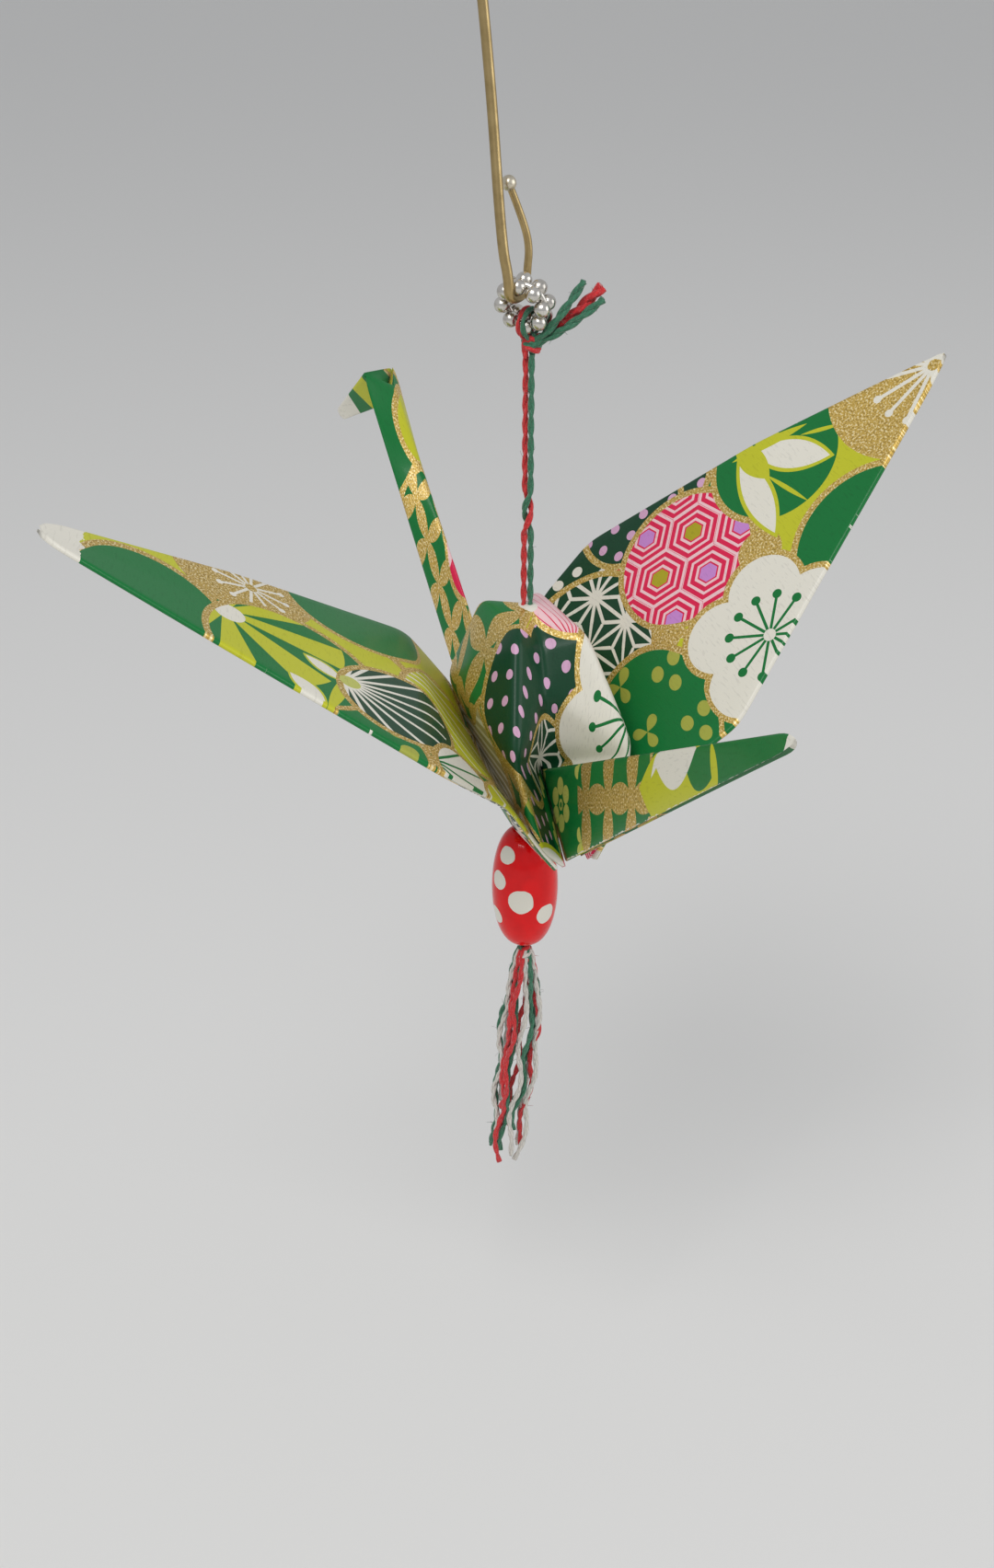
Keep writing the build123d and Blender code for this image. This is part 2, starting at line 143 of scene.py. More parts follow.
# %% Soft lines and plies
def soft_line(points, fineness=24):
    """Points along a smooth spline pulled toward the given points."""
    curve = bpy.data.curves.new("line", "CURVE")
    curve.dimensions = "3D"
    spline = curve.splines.new("NURBS")
    spline.points.add(len(points) - 1)
    for place, point in zip(spline.points, points):
        place.co = (*point, 1.0)
    spline.order_u = 3
    spline.use_endpoint_u = True
    spline.resolution_u = fineness
    holder = bpy.data.objects.new("line", curve)
    mesh = bpy.data.meshes.new_from_object(holder)
    line = np.array([p.co[:] for p in mesh.vertices])
    bpy.data.objects.remove(holder)
    bpy.data.curves.remove(curve)
    bpy.data.meshes.remove(mesh)
    return line


def along(line):
    """Distance from the line's start to each of its points."""
    steps = np.linalg.norm(np.diff(line, axis=0), axis=1)
    return np.concatenate([[0.0], np.cumsum(steps)])


def unit(arrows):
    """Arrows of length one."""
    return arrows / np.linalg.norm(arrows, axis=-1, keepdims=True)


def side_arrows(line):
    """Two arrows across the line at each point, carried along it without twist."""
    ahead = unit(np.gradient(line, axis=0))
    start = np.cross(ahead[0], (0.31, 0.83, 0.47))
    across = np.empty_like(line)
    for k, forward in enumerate(ahead):
        start = start - forward * (start @ forward)
        start = start / np.linalg.norm(start)
        across[k] = start
    return across, np.cross(ahead, across)


def wind(line, offset, angle):
    """A ply's own line, wound round another line by an angle at each of its points."""
    across, over = side_arrows(line)
    return line + offset * (across * np.cos(angle)[:, None] + over * np.sin(angle)[:, None])


def grid(*axes):
    """Rows and columns of points, from axes that stretch over one another."""
    return np.stack(np.broadcast_arrays(*axes), axis=-1)


def tube(shape, line, radius, sides, tint=0.0):
    """A round skin along a line. The radius may change from point to point."""
    across, over = side_arrows(line)
    angle = 2 * pi * np.arange(sides) / sides
    ring = across[:, None] * np.cos(angle)[:, None] + over[:, None] * np.sin(angle)[:, None]
    thick = np.broadcast_to(radius, len(line))[:, None, None]
    flat = grid(along(line)[:, None], np.arange(sides + 1) / sides)
    shape.skin(line[:, None] + ring * thick, flat, tint)

# %% [markdown]
# The thread is two cotton strands, one red and one green. They lie side by side for a while and
# then cross over in one quick turn. Each strand is itself two plies with a slow twist, and a few
# stray fibres stand out from it. It is pulled straight by the bead's weight, so its route
# has few points.

# %% Hanging thread
def span(node):
    """The lowest and the highest z of a solid, in millimetres."""
    low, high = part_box(node)
    return low.z / MM, high.z / MM


THREAD_LOW, THREAD_HIGH = span("hanging_thread")
THREAD_LONG = THREAD_HIGH - THREAD_LOW
STRAND_OFFSET = 0.27
LAY_START = 2.2
LAY_TURN = 2 * pi - 0.7
CROSSINGS = (11.0, 30.0, 41.0)
CROSSING_LONG = 3.4
PLY_R = 0.17
PLY_OFFSET = 0.105
PLY_PITCH = 3.2
PLY_SIDES = 7
FIBRE_STEPS = 6
FIBRE_THICK, FIBRE_THIN = 0.026, 0.010
RED, GREEN, WHITE = 0.0, 1.0, 2.0


def strand(shape, line, tint, swell=1.0):
    """Two plies twisted together along a line."""
    for turn in (0.0, pi):
        ply = wind(line, PLY_OFFSET * swell, 2 * pi * along(line) / PLY_PITCH + turn)
        tube(shape, ply, PLY_R * swell, PLY_SIDES, tint)


chance = np.random.default_rng(5)


def fluff(shape, line, count, tint, reach):
    """Stray fibres that stand out from a strand."""
    share = np.linspace(0.0, 1.0, FIBRE_STEPS)[:, None]
    thick = np.linspace(FIBRE_THICK, FIBRE_THIN, FIBRE_STEPS)
    for _ in range(count):
        way, bend = unit(chance.normal(size=(2, 3)))
        root = line[chance.integers(4, len(line) - 4)]
        fibre = root + reach * (way * share + 0.7 * bend * share ** 2)
        tube(shape, fibre, thick, 3, tint)


thread_route = [(0, 0, THREAD_HIGH - share * THREAD_LONG) for share in (0.0, 0.12, 0.5, 0.88, 1.0)]
thread_line = soft_line(thread_route, fineness=110)
thread_shape = Shape()
lay = np.full(len(thread_line), LAY_START)
for crossing in CROSSINGS:
    lay = lay + LAY_TURN * np.clip((along(thread_line) - crossing) / CROSSING_LONG, 0.0, 1.0)
for tint, turn in ((RED, pi), (GREEN, 0.0)):
    own_line = wind(thread_line, STRAND_OFFSET, lay + turn)
    strand(thread_shape, own_line, tint)
    fluff(thread_shape, own_line, 26, tint, 0.62)
hanging_thread = thread_shape.piece("twisted_thread", "hanging_thread", "twisted_cotton")
print("thread is", round(THREAD_LONG, 1), "mm long")

# %% [markdown]
# The knot holds a granulated ring. Directions are taken from the picture's side of the hook:
# ACROSS runs to the right as seen there, TOWARD comes to the viewer.
# The lump is both strands wrapped one turn and a half round the stems, the loop over it goes
# round the ring's lowest grain, and three cut ends stand out to the right.
# A knot could be pulled tight by a simulation, but so small a lump only needs to look wrapped.

# %% Knot
HOOK_TURN = radians(20.0)
ACROSS = np.array((-sin(HOOK_TURN), -cos(HOOK_TURN), 0.0))
TOWARD = np.array((-cos(HOOK_TURN), sin(HOOK_TURN), 0.0))
UP = np.array((0.0, 0.0, 1.0))
RING_TURN = radians(-30.0)
BALL_R = 0.68
BALLS = 8
RING_R = (2 * BALL_R - 0.04) / (2 * sin(pi / BALLS))
KNOT_Z = THREAD_HIGH + 0.68
BAND_Z = KNOT_Z + 0.85 + BALL_R + 0.16
FACING = TOWARD * cos(RING_TURN) + ACROSS * sin(RING_TURN)
SIDEWAYS = ACROSS * cos(RING_TURN) - TOWARD * sin(RING_TURN)


def at(across, toward, height):
    """A point beside the thread's own line."""
    return ACROSS * across + TOWARD * toward + UP * height


LUMP_TURNS = 1.5
LUMP_POINTS = 13
knot_shape = Shape()
for tint, lead in ((RED, 0.0), (GREEN, pi)):
    turns = np.linspace(0.0, 2 * pi * LUMP_TURNS, LUMP_POINTS) + lead
    rise = np.linspace(-0.45, 0.6, LUMP_POINTS)
    wraps = [at(0.22 + 0.55 * cos(a), 0.5 * sin(a), KNOT_Z + 0.08 + h) for a, h in zip(turns, rise)]
    strand(knot_shape, soft_line(wraps), tint, 1.15)
    beside = STRAND_OFFSET * (-1.0 if tint == RED else 1.0)
    stem = [at(beside, 0.05, THREAD_HIGH - 0.3), at(beside, 0.05, KNOT_Z - 0.3),
            at(beside - 0.1, 0.2, KNOT_Z + 0.3), at(0.1 + beside, 0.3, KNOT_Z + 1.0)]
    strand(knot_shape, soft_line(stem), tint)
print("knot at", round(KNOT_Z, 1), "mm")

# %% Loop and cut ends
LOOP_R = 1.12
LOOP_DEEP = 1.36
LOOP_HALF_WIDE = 0.2
loop_turns = np.linspace(-0.42 * pi, 1.42 * pi, 15)
for tint, beside in ((RED, -LOOP_HALF_WIDE), (GREEN, LOOP_HALF_WIDE)):
    loop = [UP * (BAND_Z + LOOP_R * sin(a)) + FACING * (LOOP_DEEP * cos(a)) + SIDEWAYS * beside
            for a in loop_turns]
    strand(knot_shape, soft_line(loop), tint, 0.8)
CUT_ENDS = ((GREEN, 4.1, 5.1, 0.3, 1.3), (RED, 5.5, 4.5, -0.44, 1.75), (GREEN, 5.6, 3.7, 0.1, 1.3))
for tint, reach, rise, beside, swell in CUT_ENDS:
    front = 1.3 * BALL_R + beside
    cut_end = [at(0.2, beside, KNOT_Z), at(0.4 * reach, front, KNOT_Z + 0.3 * rise),
               at(0.8 * reach, front, KNOT_Z + 0.75 * rise), at(reach, front, KNOT_Z + rise)]
    cut_line = soft_line(cut_end)
    strand(knot_shape, cut_line, tint, swell)
    fluff(knot_shape, cut_line, 10, tint, 0.5)
thread_knot = knot_shape.piece("knotted_loop", "thread_knot", "twisted_cotton")

# %% [markdown]
# The tassel is what is left of the thread below its stop knot: loose wavy ends in white,
# red and green. Each end is one strand on a soft line with a few waves in it.
# The waves come from a short formula and not from chance, so they are the same on each run.

# %% Tassel
TASSEL_LOW, TASSEL_HIGH = span("tassel")
TASSEL_KNOT_R = 1.1
STOP_TURNS = 1.3
STOP_POINTS = 11
tassel_shape = Shape()
start = TASSEL_HIGH - TASSEL_KNOT_R
for tint, lead in ((RED, 0.0), (GREEN, 0.67 * pi), (WHITE, 1.33 * pi)):
    turns = np.linspace(0.0, 2 * pi * STOP_TURNS, STOP_POINTS) + lead
    rise = np.linspace(0.7, -0.7, STOP_POINTS)
    reach = 0.42 * np.cos(np.linspace(-0.9, 0.9, STOP_POINTS))
    wraps = [at(r * cos(a), r * sin(a), start + h) for a, h, r in zip(turns, rise, reach)]
    strand(tassel_shape, soft_line(wraps), tint, 1.3)
print("stop knot at", round(start, 1), "mm")

# %% Loose ends
TASSEL_ENDS = 15
END_STEPS = 12
END_LIFT = 0.55
TASSEL_SPREAD = 1.75
TASSEL_LEAN = 1.7
WAVE = 0.36
END_TINTS = (RED, WHITE, GREEN, WHITE, RED, GREEN)
END_REACH = (0.9, 1.0, 0.75, 0.85, 1.0, 0.6, 0.95)
END_LENGTHS = (0.93, 0.99, 0.84, 0.95, 0.72)
for k in range(TASSEL_ENDS):
    turn = 2 * pi * k / TASSEL_ENDS + 0.2 * sin(5.0 * k)
    tint = END_TINTS[k % len(END_TINTS)]
    length = (start - TASSEL_LOW) * END_LENGTHS[k % len(END_LENGTHS)]
    route = []
    for step in range(END_STEPS + 1):
        share = step / END_STEPS
        spread = min(1.0, 0.3 + 1.5 * share ** 0.7) * (1.0 - 0.3 * share ** 3)
        reach = TASSEL_SPREAD * spread * END_REACH[k % len(END_REACH)]
        wave = WAVE * sin(2.4 * k + 1.7 * step) * min(1.0, 3 * share)
        side = WAVE * cos(1.7 * k + 1.45 * step) * min(1.0, 3 * share)
        lean = -TASSEL_LEAN * share ** 1.5
        route.append(at((reach + wave) * cos(turn) - side * sin(turn) + lean,
                        0.8 * ((reach + wave) * sin(turn) + side * cos(turn)),
                        start + END_LIFT * (1.0 - share) - share * length))
    loose_end = soft_line(route, fineness=16)
    strand(tassel_shape, loose_end, tint, 0.95)
    fluff(tassel_shape, loose_end, 9, tint, 0.6)
tassel = tassel_shape.piece("loose_ends", "tassel", "loose_cotton")

# %% [markdown]
# A twisted thread is a cord: it has a length, and it bends.

print("cord with", len(thread_line), "points")

# %% [markdown]
# The ring is two rows of small silver grains soldered side by side round a hole. Real grains are
# never quite alike, so each is a little out of round. A low band between the rows is the solder.
# One grain could be copied round as instances, but separate dents need separate skins.

# %% Granulated ring
RING_TILT = radians(22.0)
RING_UP = UP * cos(RING_TILT) + FACING * sin(RING_TILT)
RING_NORMAL = FACING * cos(RING_TILT) - UP * sin(RING_TILT)
GRAIN_R = 0.64
ROW_GAP = 0.5
BALL_BANDS = 18
BALL_SIDES = 28
ring_centre = UP * BAND_Z + RING_UP * RING_R


def ball(shape, centre, radius, tint):
    """A round grain, slightly dented."""
    tilt = pi * np.linspace(0.004, 0.996, BALL_BANDS)[:, None]
    turn = 2 * pi * np.arange(BALL_SIDES)[None] / BALL_SIDES
    way = grid(np.sin(tilt) * np.cos(turn), np.sin(tilt) * np.sin(turn), np.cos(tilt))
    dent = 1 - 0.012 * (1 + np.sin(3 * way[..., 0] + 5 * tint) * np.sin(4 * way[..., 1] + 3 * tint))
    flat = grid(np.linspace(0, 1, BALL_BANDS)[:, None], np.arange(BALL_SIDES + 1) / BALL_SIDES)
    shape.skin(centre + way * radius * dent[..., None], flat, tint)


ring_shape = Shape()
for k in range(BALLS):
    turn = 2 * pi * k / BALLS
    spoke = -RING_UP * cos(turn) + SIDEWAYS * sin(turn)
    for row in (-1, 1):
        ball(ring_shape, ring_centre + spoke * RING_R + RING_NORMAL * row * ROW_GAP, GRAIN_R, k)
SOLDER_R = 0.42 * BALL_R
SOLDER_TINT = 9.0
SOLDER_STEPS = 48
SOLDER_SIDES = 12
band_turns = 2 * pi * np.arange(SOLDER_STEPS + 1) / SOLDER_STEPS
band = np.array([ring_centre + RING_R * (RING_UP * cos(a) + SIDEWAYS * sin(a)) for a in band_turns])
tube(ring_shape, band, SOLDER_R, SOLDER_SIDES, SOLDER_TINT)
bead_ring = ring_shape.piece("granulated_ring", "bead_ring", "silver_ring")

# %% [markdown]
# The hook is one thin gilt wire: a ball end, a small bend that lies in the ring, a long limb,
# and the hook above, which the picture cuts off and which is finished as a plain round hook.
# The short limb is drawn a little thinner, as a wire is where its end was melted to a ball.
# The bends are soft lines too: a spline touches the middle of each run between its points,
# so corners set round a circle give a curve very near that circle.

# %% Hook wire
WIRE_R = 0.4
WIRE_CLEAR = 0.12
WIRE_SIDES = 20
LIMB_BALL_R = 0.6
HOOK_BALL_R = 1.1 * WIRE_R
EYE_LIMB = 8.2
HOOK_RISE = 42.0
HOOK_R = 4.6
HOOK_DROP = 6.5
half_step = pi / BALLS
ball_reach = BALL_R + WIRE_R + WIRE_CLEAR
wire_in = RING_R * cos(half_step) - (ball_reach ** 2 - (RING_R * sin(half_step)) ** 2) ** 0.5
bend_low = ring_centre + RING_UP * (wire_in * cos(half_step)) - SIDEWAYS * (wire_in * sin(half_step))
long_foot = bend_low + FACING * (BALL_R + WIRE_R + 0.8)
short_foot = bend_low - FACING * (BALL_R + WIRE_R - 0.2)
hook_centre = UP * (WIRE_R - HOOK_R)
CORNERS = (157.5, 112.5, 67.5, 22.5)
corner_r = HOOK_R / cos(radians(CORNERS[-1]))
hook_corners = [hook_centre + (ACROSS * cos(radians(a)) + UP * sin(radians(a))) * corner_r for a in CORNERS]
wire_route = [
    short_foot + UP * EYE_LIMB - ACROSS * 1.4,
    short_foot + UP * (0.72 * EYE_LIMB) - ACROSS * 0.45,
    short_foot + UP * (0.45 * EYE_LIMB) + ACROSS * 0.2,
    short_foot + UP * (0.2 * EYE_LIMB),
    short_foot,
    long_foot,
    long_foot + UP * (0.2 * EYE_LIMB),
    long_foot + UP * (0.1 * HOOK_RISE) - ACROSS * 0.55,
    ACROSS * -3.0 + UP * (0.59 * -HOOK_RISE),
    ACROSS * -HOOK_R + UP * (0.25 * -HOOK_RISE),
    *hook_corners,
    ACROSS * (HOOK_R + 0.1) - UP * (0.75 * HOOK_DROP),
    ACROSS * (HOOK_R + 0.4) - UP * HOOK_DROP,
]
wire_line = soft_line(wire_route)
wire_shape = Shape()
wire_thick = WIRE_R * np.interp(along(wire_line), (0.0, EYE_LIMB, 1.4 * EYE_LIMB), (0.7, 0.78, 1.0))
tube(wire_shape, wire_line, wire_thick, WIRE_SIDES)
ball(wire_shape, wire_line[0], LIMB_BALL_R, 1)
ball(wire_shape, wire_line[-1], HOOK_BALL_R, 2)
hook_wire = wire_shape.piece("bent_wire", "hook_wire", "gilt_wire")

# %% [markdown]
# The bead is an oval turned round the thread, with a bore through it.
# Its outline is three arcs in the solid; here the same oval is drawn as one smooth outline.
# A lathe would turn it the same way, and so would Blender's Screw modifier.

# %% Dotted bead
BEAD_LOW, BEAD_HIGH = span("dotted_bead")
BEAD_MID = (BEAD_HIGH + BEAD_LOW) / 2
BEAD_R = (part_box("dotted_bead")[1].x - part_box("dotted_bead")[0].x) / 2 / MM
BORE_R = 0.62
BORE_ROWS = 6
BEAD_ROWS = 90
BEAD_SIDES = 96
FULLNESS = 0.86
tilts = np.linspace(0.0, pi, BEAD_ROWS)
half = (BEAD_HIGH - BEAD_LOW) / 2
outline_r = BORE_R + (BEAD_R - BORE_R) * np.sin(tilts) ** FULLNESS
outline_z = BEAD_MID + half * np.cos(tilts)
bore_z = np.linspace(outline_z[-1] + 0.5, outline_z[0] - 0.5, BORE_ROWS)
outline_r = np.concatenate([outline_r, np.full(BORE_ROWS, BORE_R - 0.02), outline_r[:1]])[:, None]
outline_z = np.concatenate([outline_z, bore_z, outline_z[:1]])[:, None]
bead_turns = 2 * pi * np.arange(BEAD_SIDES) / BEAD_SIDES
bead_rows = grid(outline_r * np.cos(bead_turns), outline_r * np.sin(bead_turns), outline_z)
bead_flat = grid(np.linspace(0, 1, len(outline_r))[:, None], np.arange(BEAD_SIDES + 1) / BEAD_SIDES)
bead_shape = Shape()
bead_shape.skin(bead_rows, bead_flat, caps=False)
dotted_bead = bead_shape.piece("glazed_bead", "dotted_bead", "red_glaze")

# %% [markdown]
# The crane is one square sheet, 100 mm on a side, in the traditional fold. Its points are those
# of the solid. What the solid has as plain slabs becomes a sheet here: each wing is a kite whose
# two long edges are folded under to meet in a seam, so its skin runs round both edges.
# Every corner of every face also knows its place on the unfolded sheet, in millimetres from the
# sheet's middle, u toward the tail and v toward the right wing. The print is drawn in that plane.

# %% Wing values
BODY_LEVEL = THREAD_HIGH - 37.2
SHEET = 100.0
WING_T = 0.45
NARROW = tan(radians(11.25))
FLAP = tan(radians(22.5))
Q_X = FLAP / (FLAP + NARROW)
WING_LONG = (1.0 - Q_X) * SHEET
WING_HALF = Q_X * NARROW * SHEET
TIP_CUT = 1.3 / (2 * cos(radians(22.5))) + 0.55
TIP_SHORT = 0.45
OPEN_TIP_LIFT = 0.5
SHEET_CORNER = SHEET / 2 ** 0.5
CREASE_LIFT = 0.5
EDGE_CURL = 0.9
KEEL = -3.6
KEEL_HALF = 0.915


def crane(*place):
    """A point of the folded crane, from its own level to the hook's frame."""
    return np.array(place) + UP * BODY_LEVEL


def wing_axes(side, yaw, pitch, slope):
    """Arrows in a wing's plane: toward the tail, and from the root to the tip."""
    g, k, a = radians(yaw), radians(pitch), radians(slope)
    tailward = np.array((-cos(g) * cos(k), side * sin(g) * cos(k), -sin(k)))
    out = np.array((0.0, side, 0.0))
    out = unit(out - tailward * (out @ tailward))
    up = np.cross(tailward, out)
    up = up if up[2] > 0 else -up
    return tailward, out * cos(a) + up * sin(a)

# %% [markdown]
# A wing and its body side are drawn between three rails: the tail edge, the middle crease and
# the neck edge. The rails are straight between the folds, and a short running mean rounds each fold
# as paper does. A section across the rails is then carried from the tip down to the keel.

# %% Rails of a wing
STATIONS = (0.0, 1.0, 2.0, 2.45, 3.0, 3.4)
RAIL_STEPS = 150
FOLD_BLUR = 5


def rail(points, blur=FOLD_BLUR):
    """A run of points with its corners rounded by a running mean."""
    fine = np.linspace(STATIONS[0], STATIONS[-1], RAIL_STEPS)
    line = np.stack([np.interp(fine, STATIONS, axis) for axis in np.array(points, float).T], axis=-1)
    if blur:
        ends = np.concatenate([2 * line[:1] - line[blur:0:-1], line, 2 * line[-1:] - line[-2:-blur - 2:-1]])
        weights = np.hanning(2 * blur + 3)[1:-1]
        weights = weights / weights.sum()
        line = np.stack([np.convolve(axis, weights, "valid") for axis in ends.T], axis=-1)
    return line


def wing_rails(side, root, tailward, rise, face, bends, hinges, keels, open_tip):
    """The tail edge, the middle crease and the neck edge of a wing, from its tip to the keel."""
    root = crane(*root)
    tip = root + rise * WING_LONG
    tail_edge = root + tailward * WING_HALF
    neck_edge = root - tailward * WING_HALF
    opened = tailward * open_tip
    lifted = face * OPEN_TIP_LIFT * (open_tip > 0.0)
    tail_end, neck_end = ([crane(*fold) for fold in run] for run in zip(bends, hinges, keels))
    hinge = (tail_end[1] + neck_end[1]) / 2
    tail = [tip + unit(tail_edge - tip) * TIP_CUT + opened + lifted, (tip + tail_edge) / 2,
            tail_edge, *tail_end]
    middle = [tip - rise * TIP_SHORT + lifted, (tip + root) / 2 + face * 0.6 * CREASE_LIFT,
              root + face * CREASE_LIFT, root * 0.45 + hinge * 0.55, hinge,
              crane(0.0, side * KEEL_HALF, KEEL)]
    neck = [tip + unit(neck_edge - tip) * TIP_CUT - opened + lifted, (tip + neck_edge) / 2 + face * EDGE_CURL,
            neck_edge, *neck_end]
    return rail(tail), rail(middle), rail(neck)

# %% [markdown]
# The same three rails are needed once more on the flat sheet, so that each point of the wing knows
# where it was before folding. Paper that goes round an edge is mirrored over that edge: the print
# on the underside then runs on from the upper side, as it does when a printed sheet is folded.

# %% Flat rails of a wing
BEND_FLAT = (11.41, 28.1)
HINGE_FLAT = (9.95, 20.71)
KEEL_FLAT = (9.2, 17.5)
MIDDLE_FLATS = (28.6, 20.71, 17.0)


def flat_rails(side, corner, flat_edge, neck_bend):
    """The rails of a wing on the flat sheet."""
    root = flat_edge * (0, 1)
    down = unit(flat_edge - corner)
    tail = [corner + down * TIP_CUT, (corner + flat_edge) / 2, flat_edge,
            *((u, -side * v) for u, v in (BEND_FLAT, HINGE_FLAT, KEEL_FLAT))]
    middle = [corner + (0, side * TIP_SHORT), (corner + root) / 2, root,
              *((0, -side * v) for v in MIDDLE_FLATS)]
    neck = [(-u, v) for u, v in tail]
    neck[3] = (-neck_bend[0], -side * neck_bend[1])
    return [rail(points, 0) for points in (tail, middle, neck)]


def mirrored(points, a, b):
    """Flat places mirrored over the line from a to b: where the sheet goes when it folds under."""
    way = (b - a) / np.linalg.norm(b - a)
    along_way = (points - a) @ way
    foot = a + along_way[..., None] * way
    return 2 * foot - points

# %% [markdown]
# The section runs over the wing from its tail edge (w is -1) across the crease (0) to the neck edge
# (1), round that edge, back under the wing to a seam in the middle, and round the other edge.
# For each point it says how far the skin is lifted off the middle surface and how far pushed out.

# %% Section across a wing
HALF_COLUMNS = 13
EDGE_COLUMNS = 5
SEAM = 0.03
SEAM_LIFT = 0.3
EDGE_OUT = 1.2
CREASE_SOFT = 0.1
TIP_ROUNDING = (0.62, 0.84, 0.95, 0.99)
upper = np.linspace(-1.0, 1.0, 2 * HALF_COLUMNS + 1)
under = np.linspace(1.0, SEAM, HALF_COLUMNS)
edge = np.linspace(0.5 * pi, -0.5 * pi, EDGE_COLUMNS + 2)[1:-1]
thick = WING_T / 2
low = np.full(HALF_COLUMNS, -thick)
round_edge = np.ones(EDGE_COLUMNS)
no_top = np.zeros(len(upper))
no_under = np.zeros(2 * HALF_COLUMNS + 2)
ACROSS_WING = np.concatenate([upper, round_edge, under, (SEAM, -SEAM), -under[::-1], -round_edge])
LIFT = np.concatenate([np.full(len(upper), thick), thick * np.sin(edge), low,
                       (-SEAM_LIFT * thick, -SEAM_LIFT * thick), low, thick * np.sin(edge[::-1])])
OUT = np.concatenate([no_top, EDGE_OUT * thick * np.cos(edge),
                      no_under, EDGE_OUT * thick * np.cos(edge[::-1])])
FOLDED = np.concatenate([no_top, np.linspace(0, 1, EDGE_COLUMNS),
                         no_under + 1, np.linspace(1, 0, EDGE_COLUMNS)])
WORN = np.concatenate([no_top, round_edge, no_under, round_edge])
print("section of", len(ACROSS_WING), "points")

# %% [markdown]
# Now the section is carried along the rails. The crease has a soft start, so it is no knife edge,
# and the first few rows are drawn in to round the tip.
# The flat places go the same way, but with a sharp crease, because print doesn't soften at a fold.

# %% Wing and body side
def between(rails, low, high):
    """Points between the middle rail and the two edges, by their shares toward each edge."""
    t, m, n = (r[:, None] for r in rails)
    return m + (t - m) * low + (n - m) * high


def ramp(w):
    """Rises from 0 to 1 past the crease, with a soft start."""
    return ((w + np.sqrt(w * w + CREASE_SOFT ** 2)) / 2)[None, :, None]


def wing(shape, side, root, yaw, pitch, slope, bends, hinges, keels, neck_bend=BEND_FLAT, open_tip=0.0):
    """One wing with its body side and keel, as a folded skin."""
    tailward, rise = wing_axes(side, yaw, pitch, slope)
    face = np.cross(tailward, rise)
    face = unit(face if face[2] > 0 else -face)
    rails = wing_rails(side, root, tailward, rise, face, bends, hinges, keels, open_tip)
    narrow = np.ones((RAIL_STEPS, 1, 1))
    narrow[:len(TIP_ROUNDING), 0, 0] = TIP_ROUNDING

    def middle_surface(w):
        """Points halfway through the paper, at shares w across the wing."""
        return between(rails, narrow * ramp(-w), narrow * ramp(w))

    w = ACROSS_WING
    close = 1e-3
    base = middle_surface(w)
    across = unit(middle_surface(w + close) - middle_surface(w - close))
    normal = unit(np.cross(across, unit(np.gradient(base, axis=0))))
    normal = normal * np.sign(normal[10, HALF_COLUMNS] @ face)
    outward = across * np.sign(w)[None, :, None]
    rows = base + normal * LIFT[None, :, None] + outward * OUT[None, :, None]

    corner = np.array((0.0, -side * SHEET_CORNER))
    flat_edge = np.array((WING_HALF, -side * (SHEET_CORNER - WING_LONG)))
    sharp_low, sharp_high = np.maximum(-w, 0)[None, :, None], np.maximum(w, 0)[None, :, None]
    flat = between(flat_rails(side, corner, flat_edge, neck_bend), sharp_low, sharp_high)
    over_tail = mirrored(flat, corner, flat_edge)
    over_neck = mirrored(flat, corner, flat_edge * (-1, 1))
    turned = np.where((w < 0)[None, :, None], over_tail, over_neck)
    flat = np.where((FOLDED > 0.5)[None, :, None], turned, flat)
    flat = np.concatenate([flat, flat[:, :1]], axis=1)
    shape.skin(rows, flat, WORN[None])

# %% [markdown]
# Each wing has its own place and tilt: the left one lies low, the right one stands steeper, and at
# the left tip the layers have come apart a little. The folds below the root (bend, hinge, keel) are
# named by end, T for tail and N for neck, and by side, L for left and R for right.

# %% Both wings
OPEN_TIP = 1.2
HINGE_TL, HINGE_NL = (-10.7, 2.8, -0.3), (8.6, 1.6, 0.4)
HINGE_TR, HINGE_NR = (-10.2, -3.4, 0.0), (9.6, -2.8, 0.4)
KEEL_TL, KEEL_NL = (-9.5, 1.0, -2.8), (7.4, 1.1, -2.2)
KEEL_TR, KEEL_NR = (-9.0, -2.7, -2.8), (8.2, -1.2, -2.2)
BEND_TL, BEND_NL = (-13.0, 6.6, 5.5), (9.0, 3.7, 6.4)
BEND_TR, BEND_NR = (-12.0, -7.0, 5.0), (12.4, -6.1, 11.6)
crane_shape = Shape()
wing(crane_shape, 1, (-5.3, 10.8, 12.1), 11.4, 1.0, 27.8,
     (BEND_TL, BEND_NL), (HINGE_TL, HINGE_NL), (KEEL_TL, KEEL_NL), open_tip=OPEN_TIP)
wing(crane_shape, -1, (-0.4, -11.8, 13.1), 4.3, 15.0, 45.3,
     (BEND_TR, BEND_NR), (HINGE_TR, HINGE_NR), (KEEL_TR, KEEL_NR), neck_bend=(12.2, 31.9))
print("wings:", len(crane_shape.faces), "faces")

# %% [markdown]
# The hump is the middle of the sheet, blown up between the wings, with a valley at each end.
# It is drawn as large triangles first, each cut into small ones. A few rounds of
# averaging between neighbours then soften the folds, because paper never folds to a knife edge.
# Each named point has a place on the crane and a place on the flat sheet. The names say what
# it is: r ridge, y side, c crown, h hinge, v valley, s seat, k keel, then t or n, and l or r.

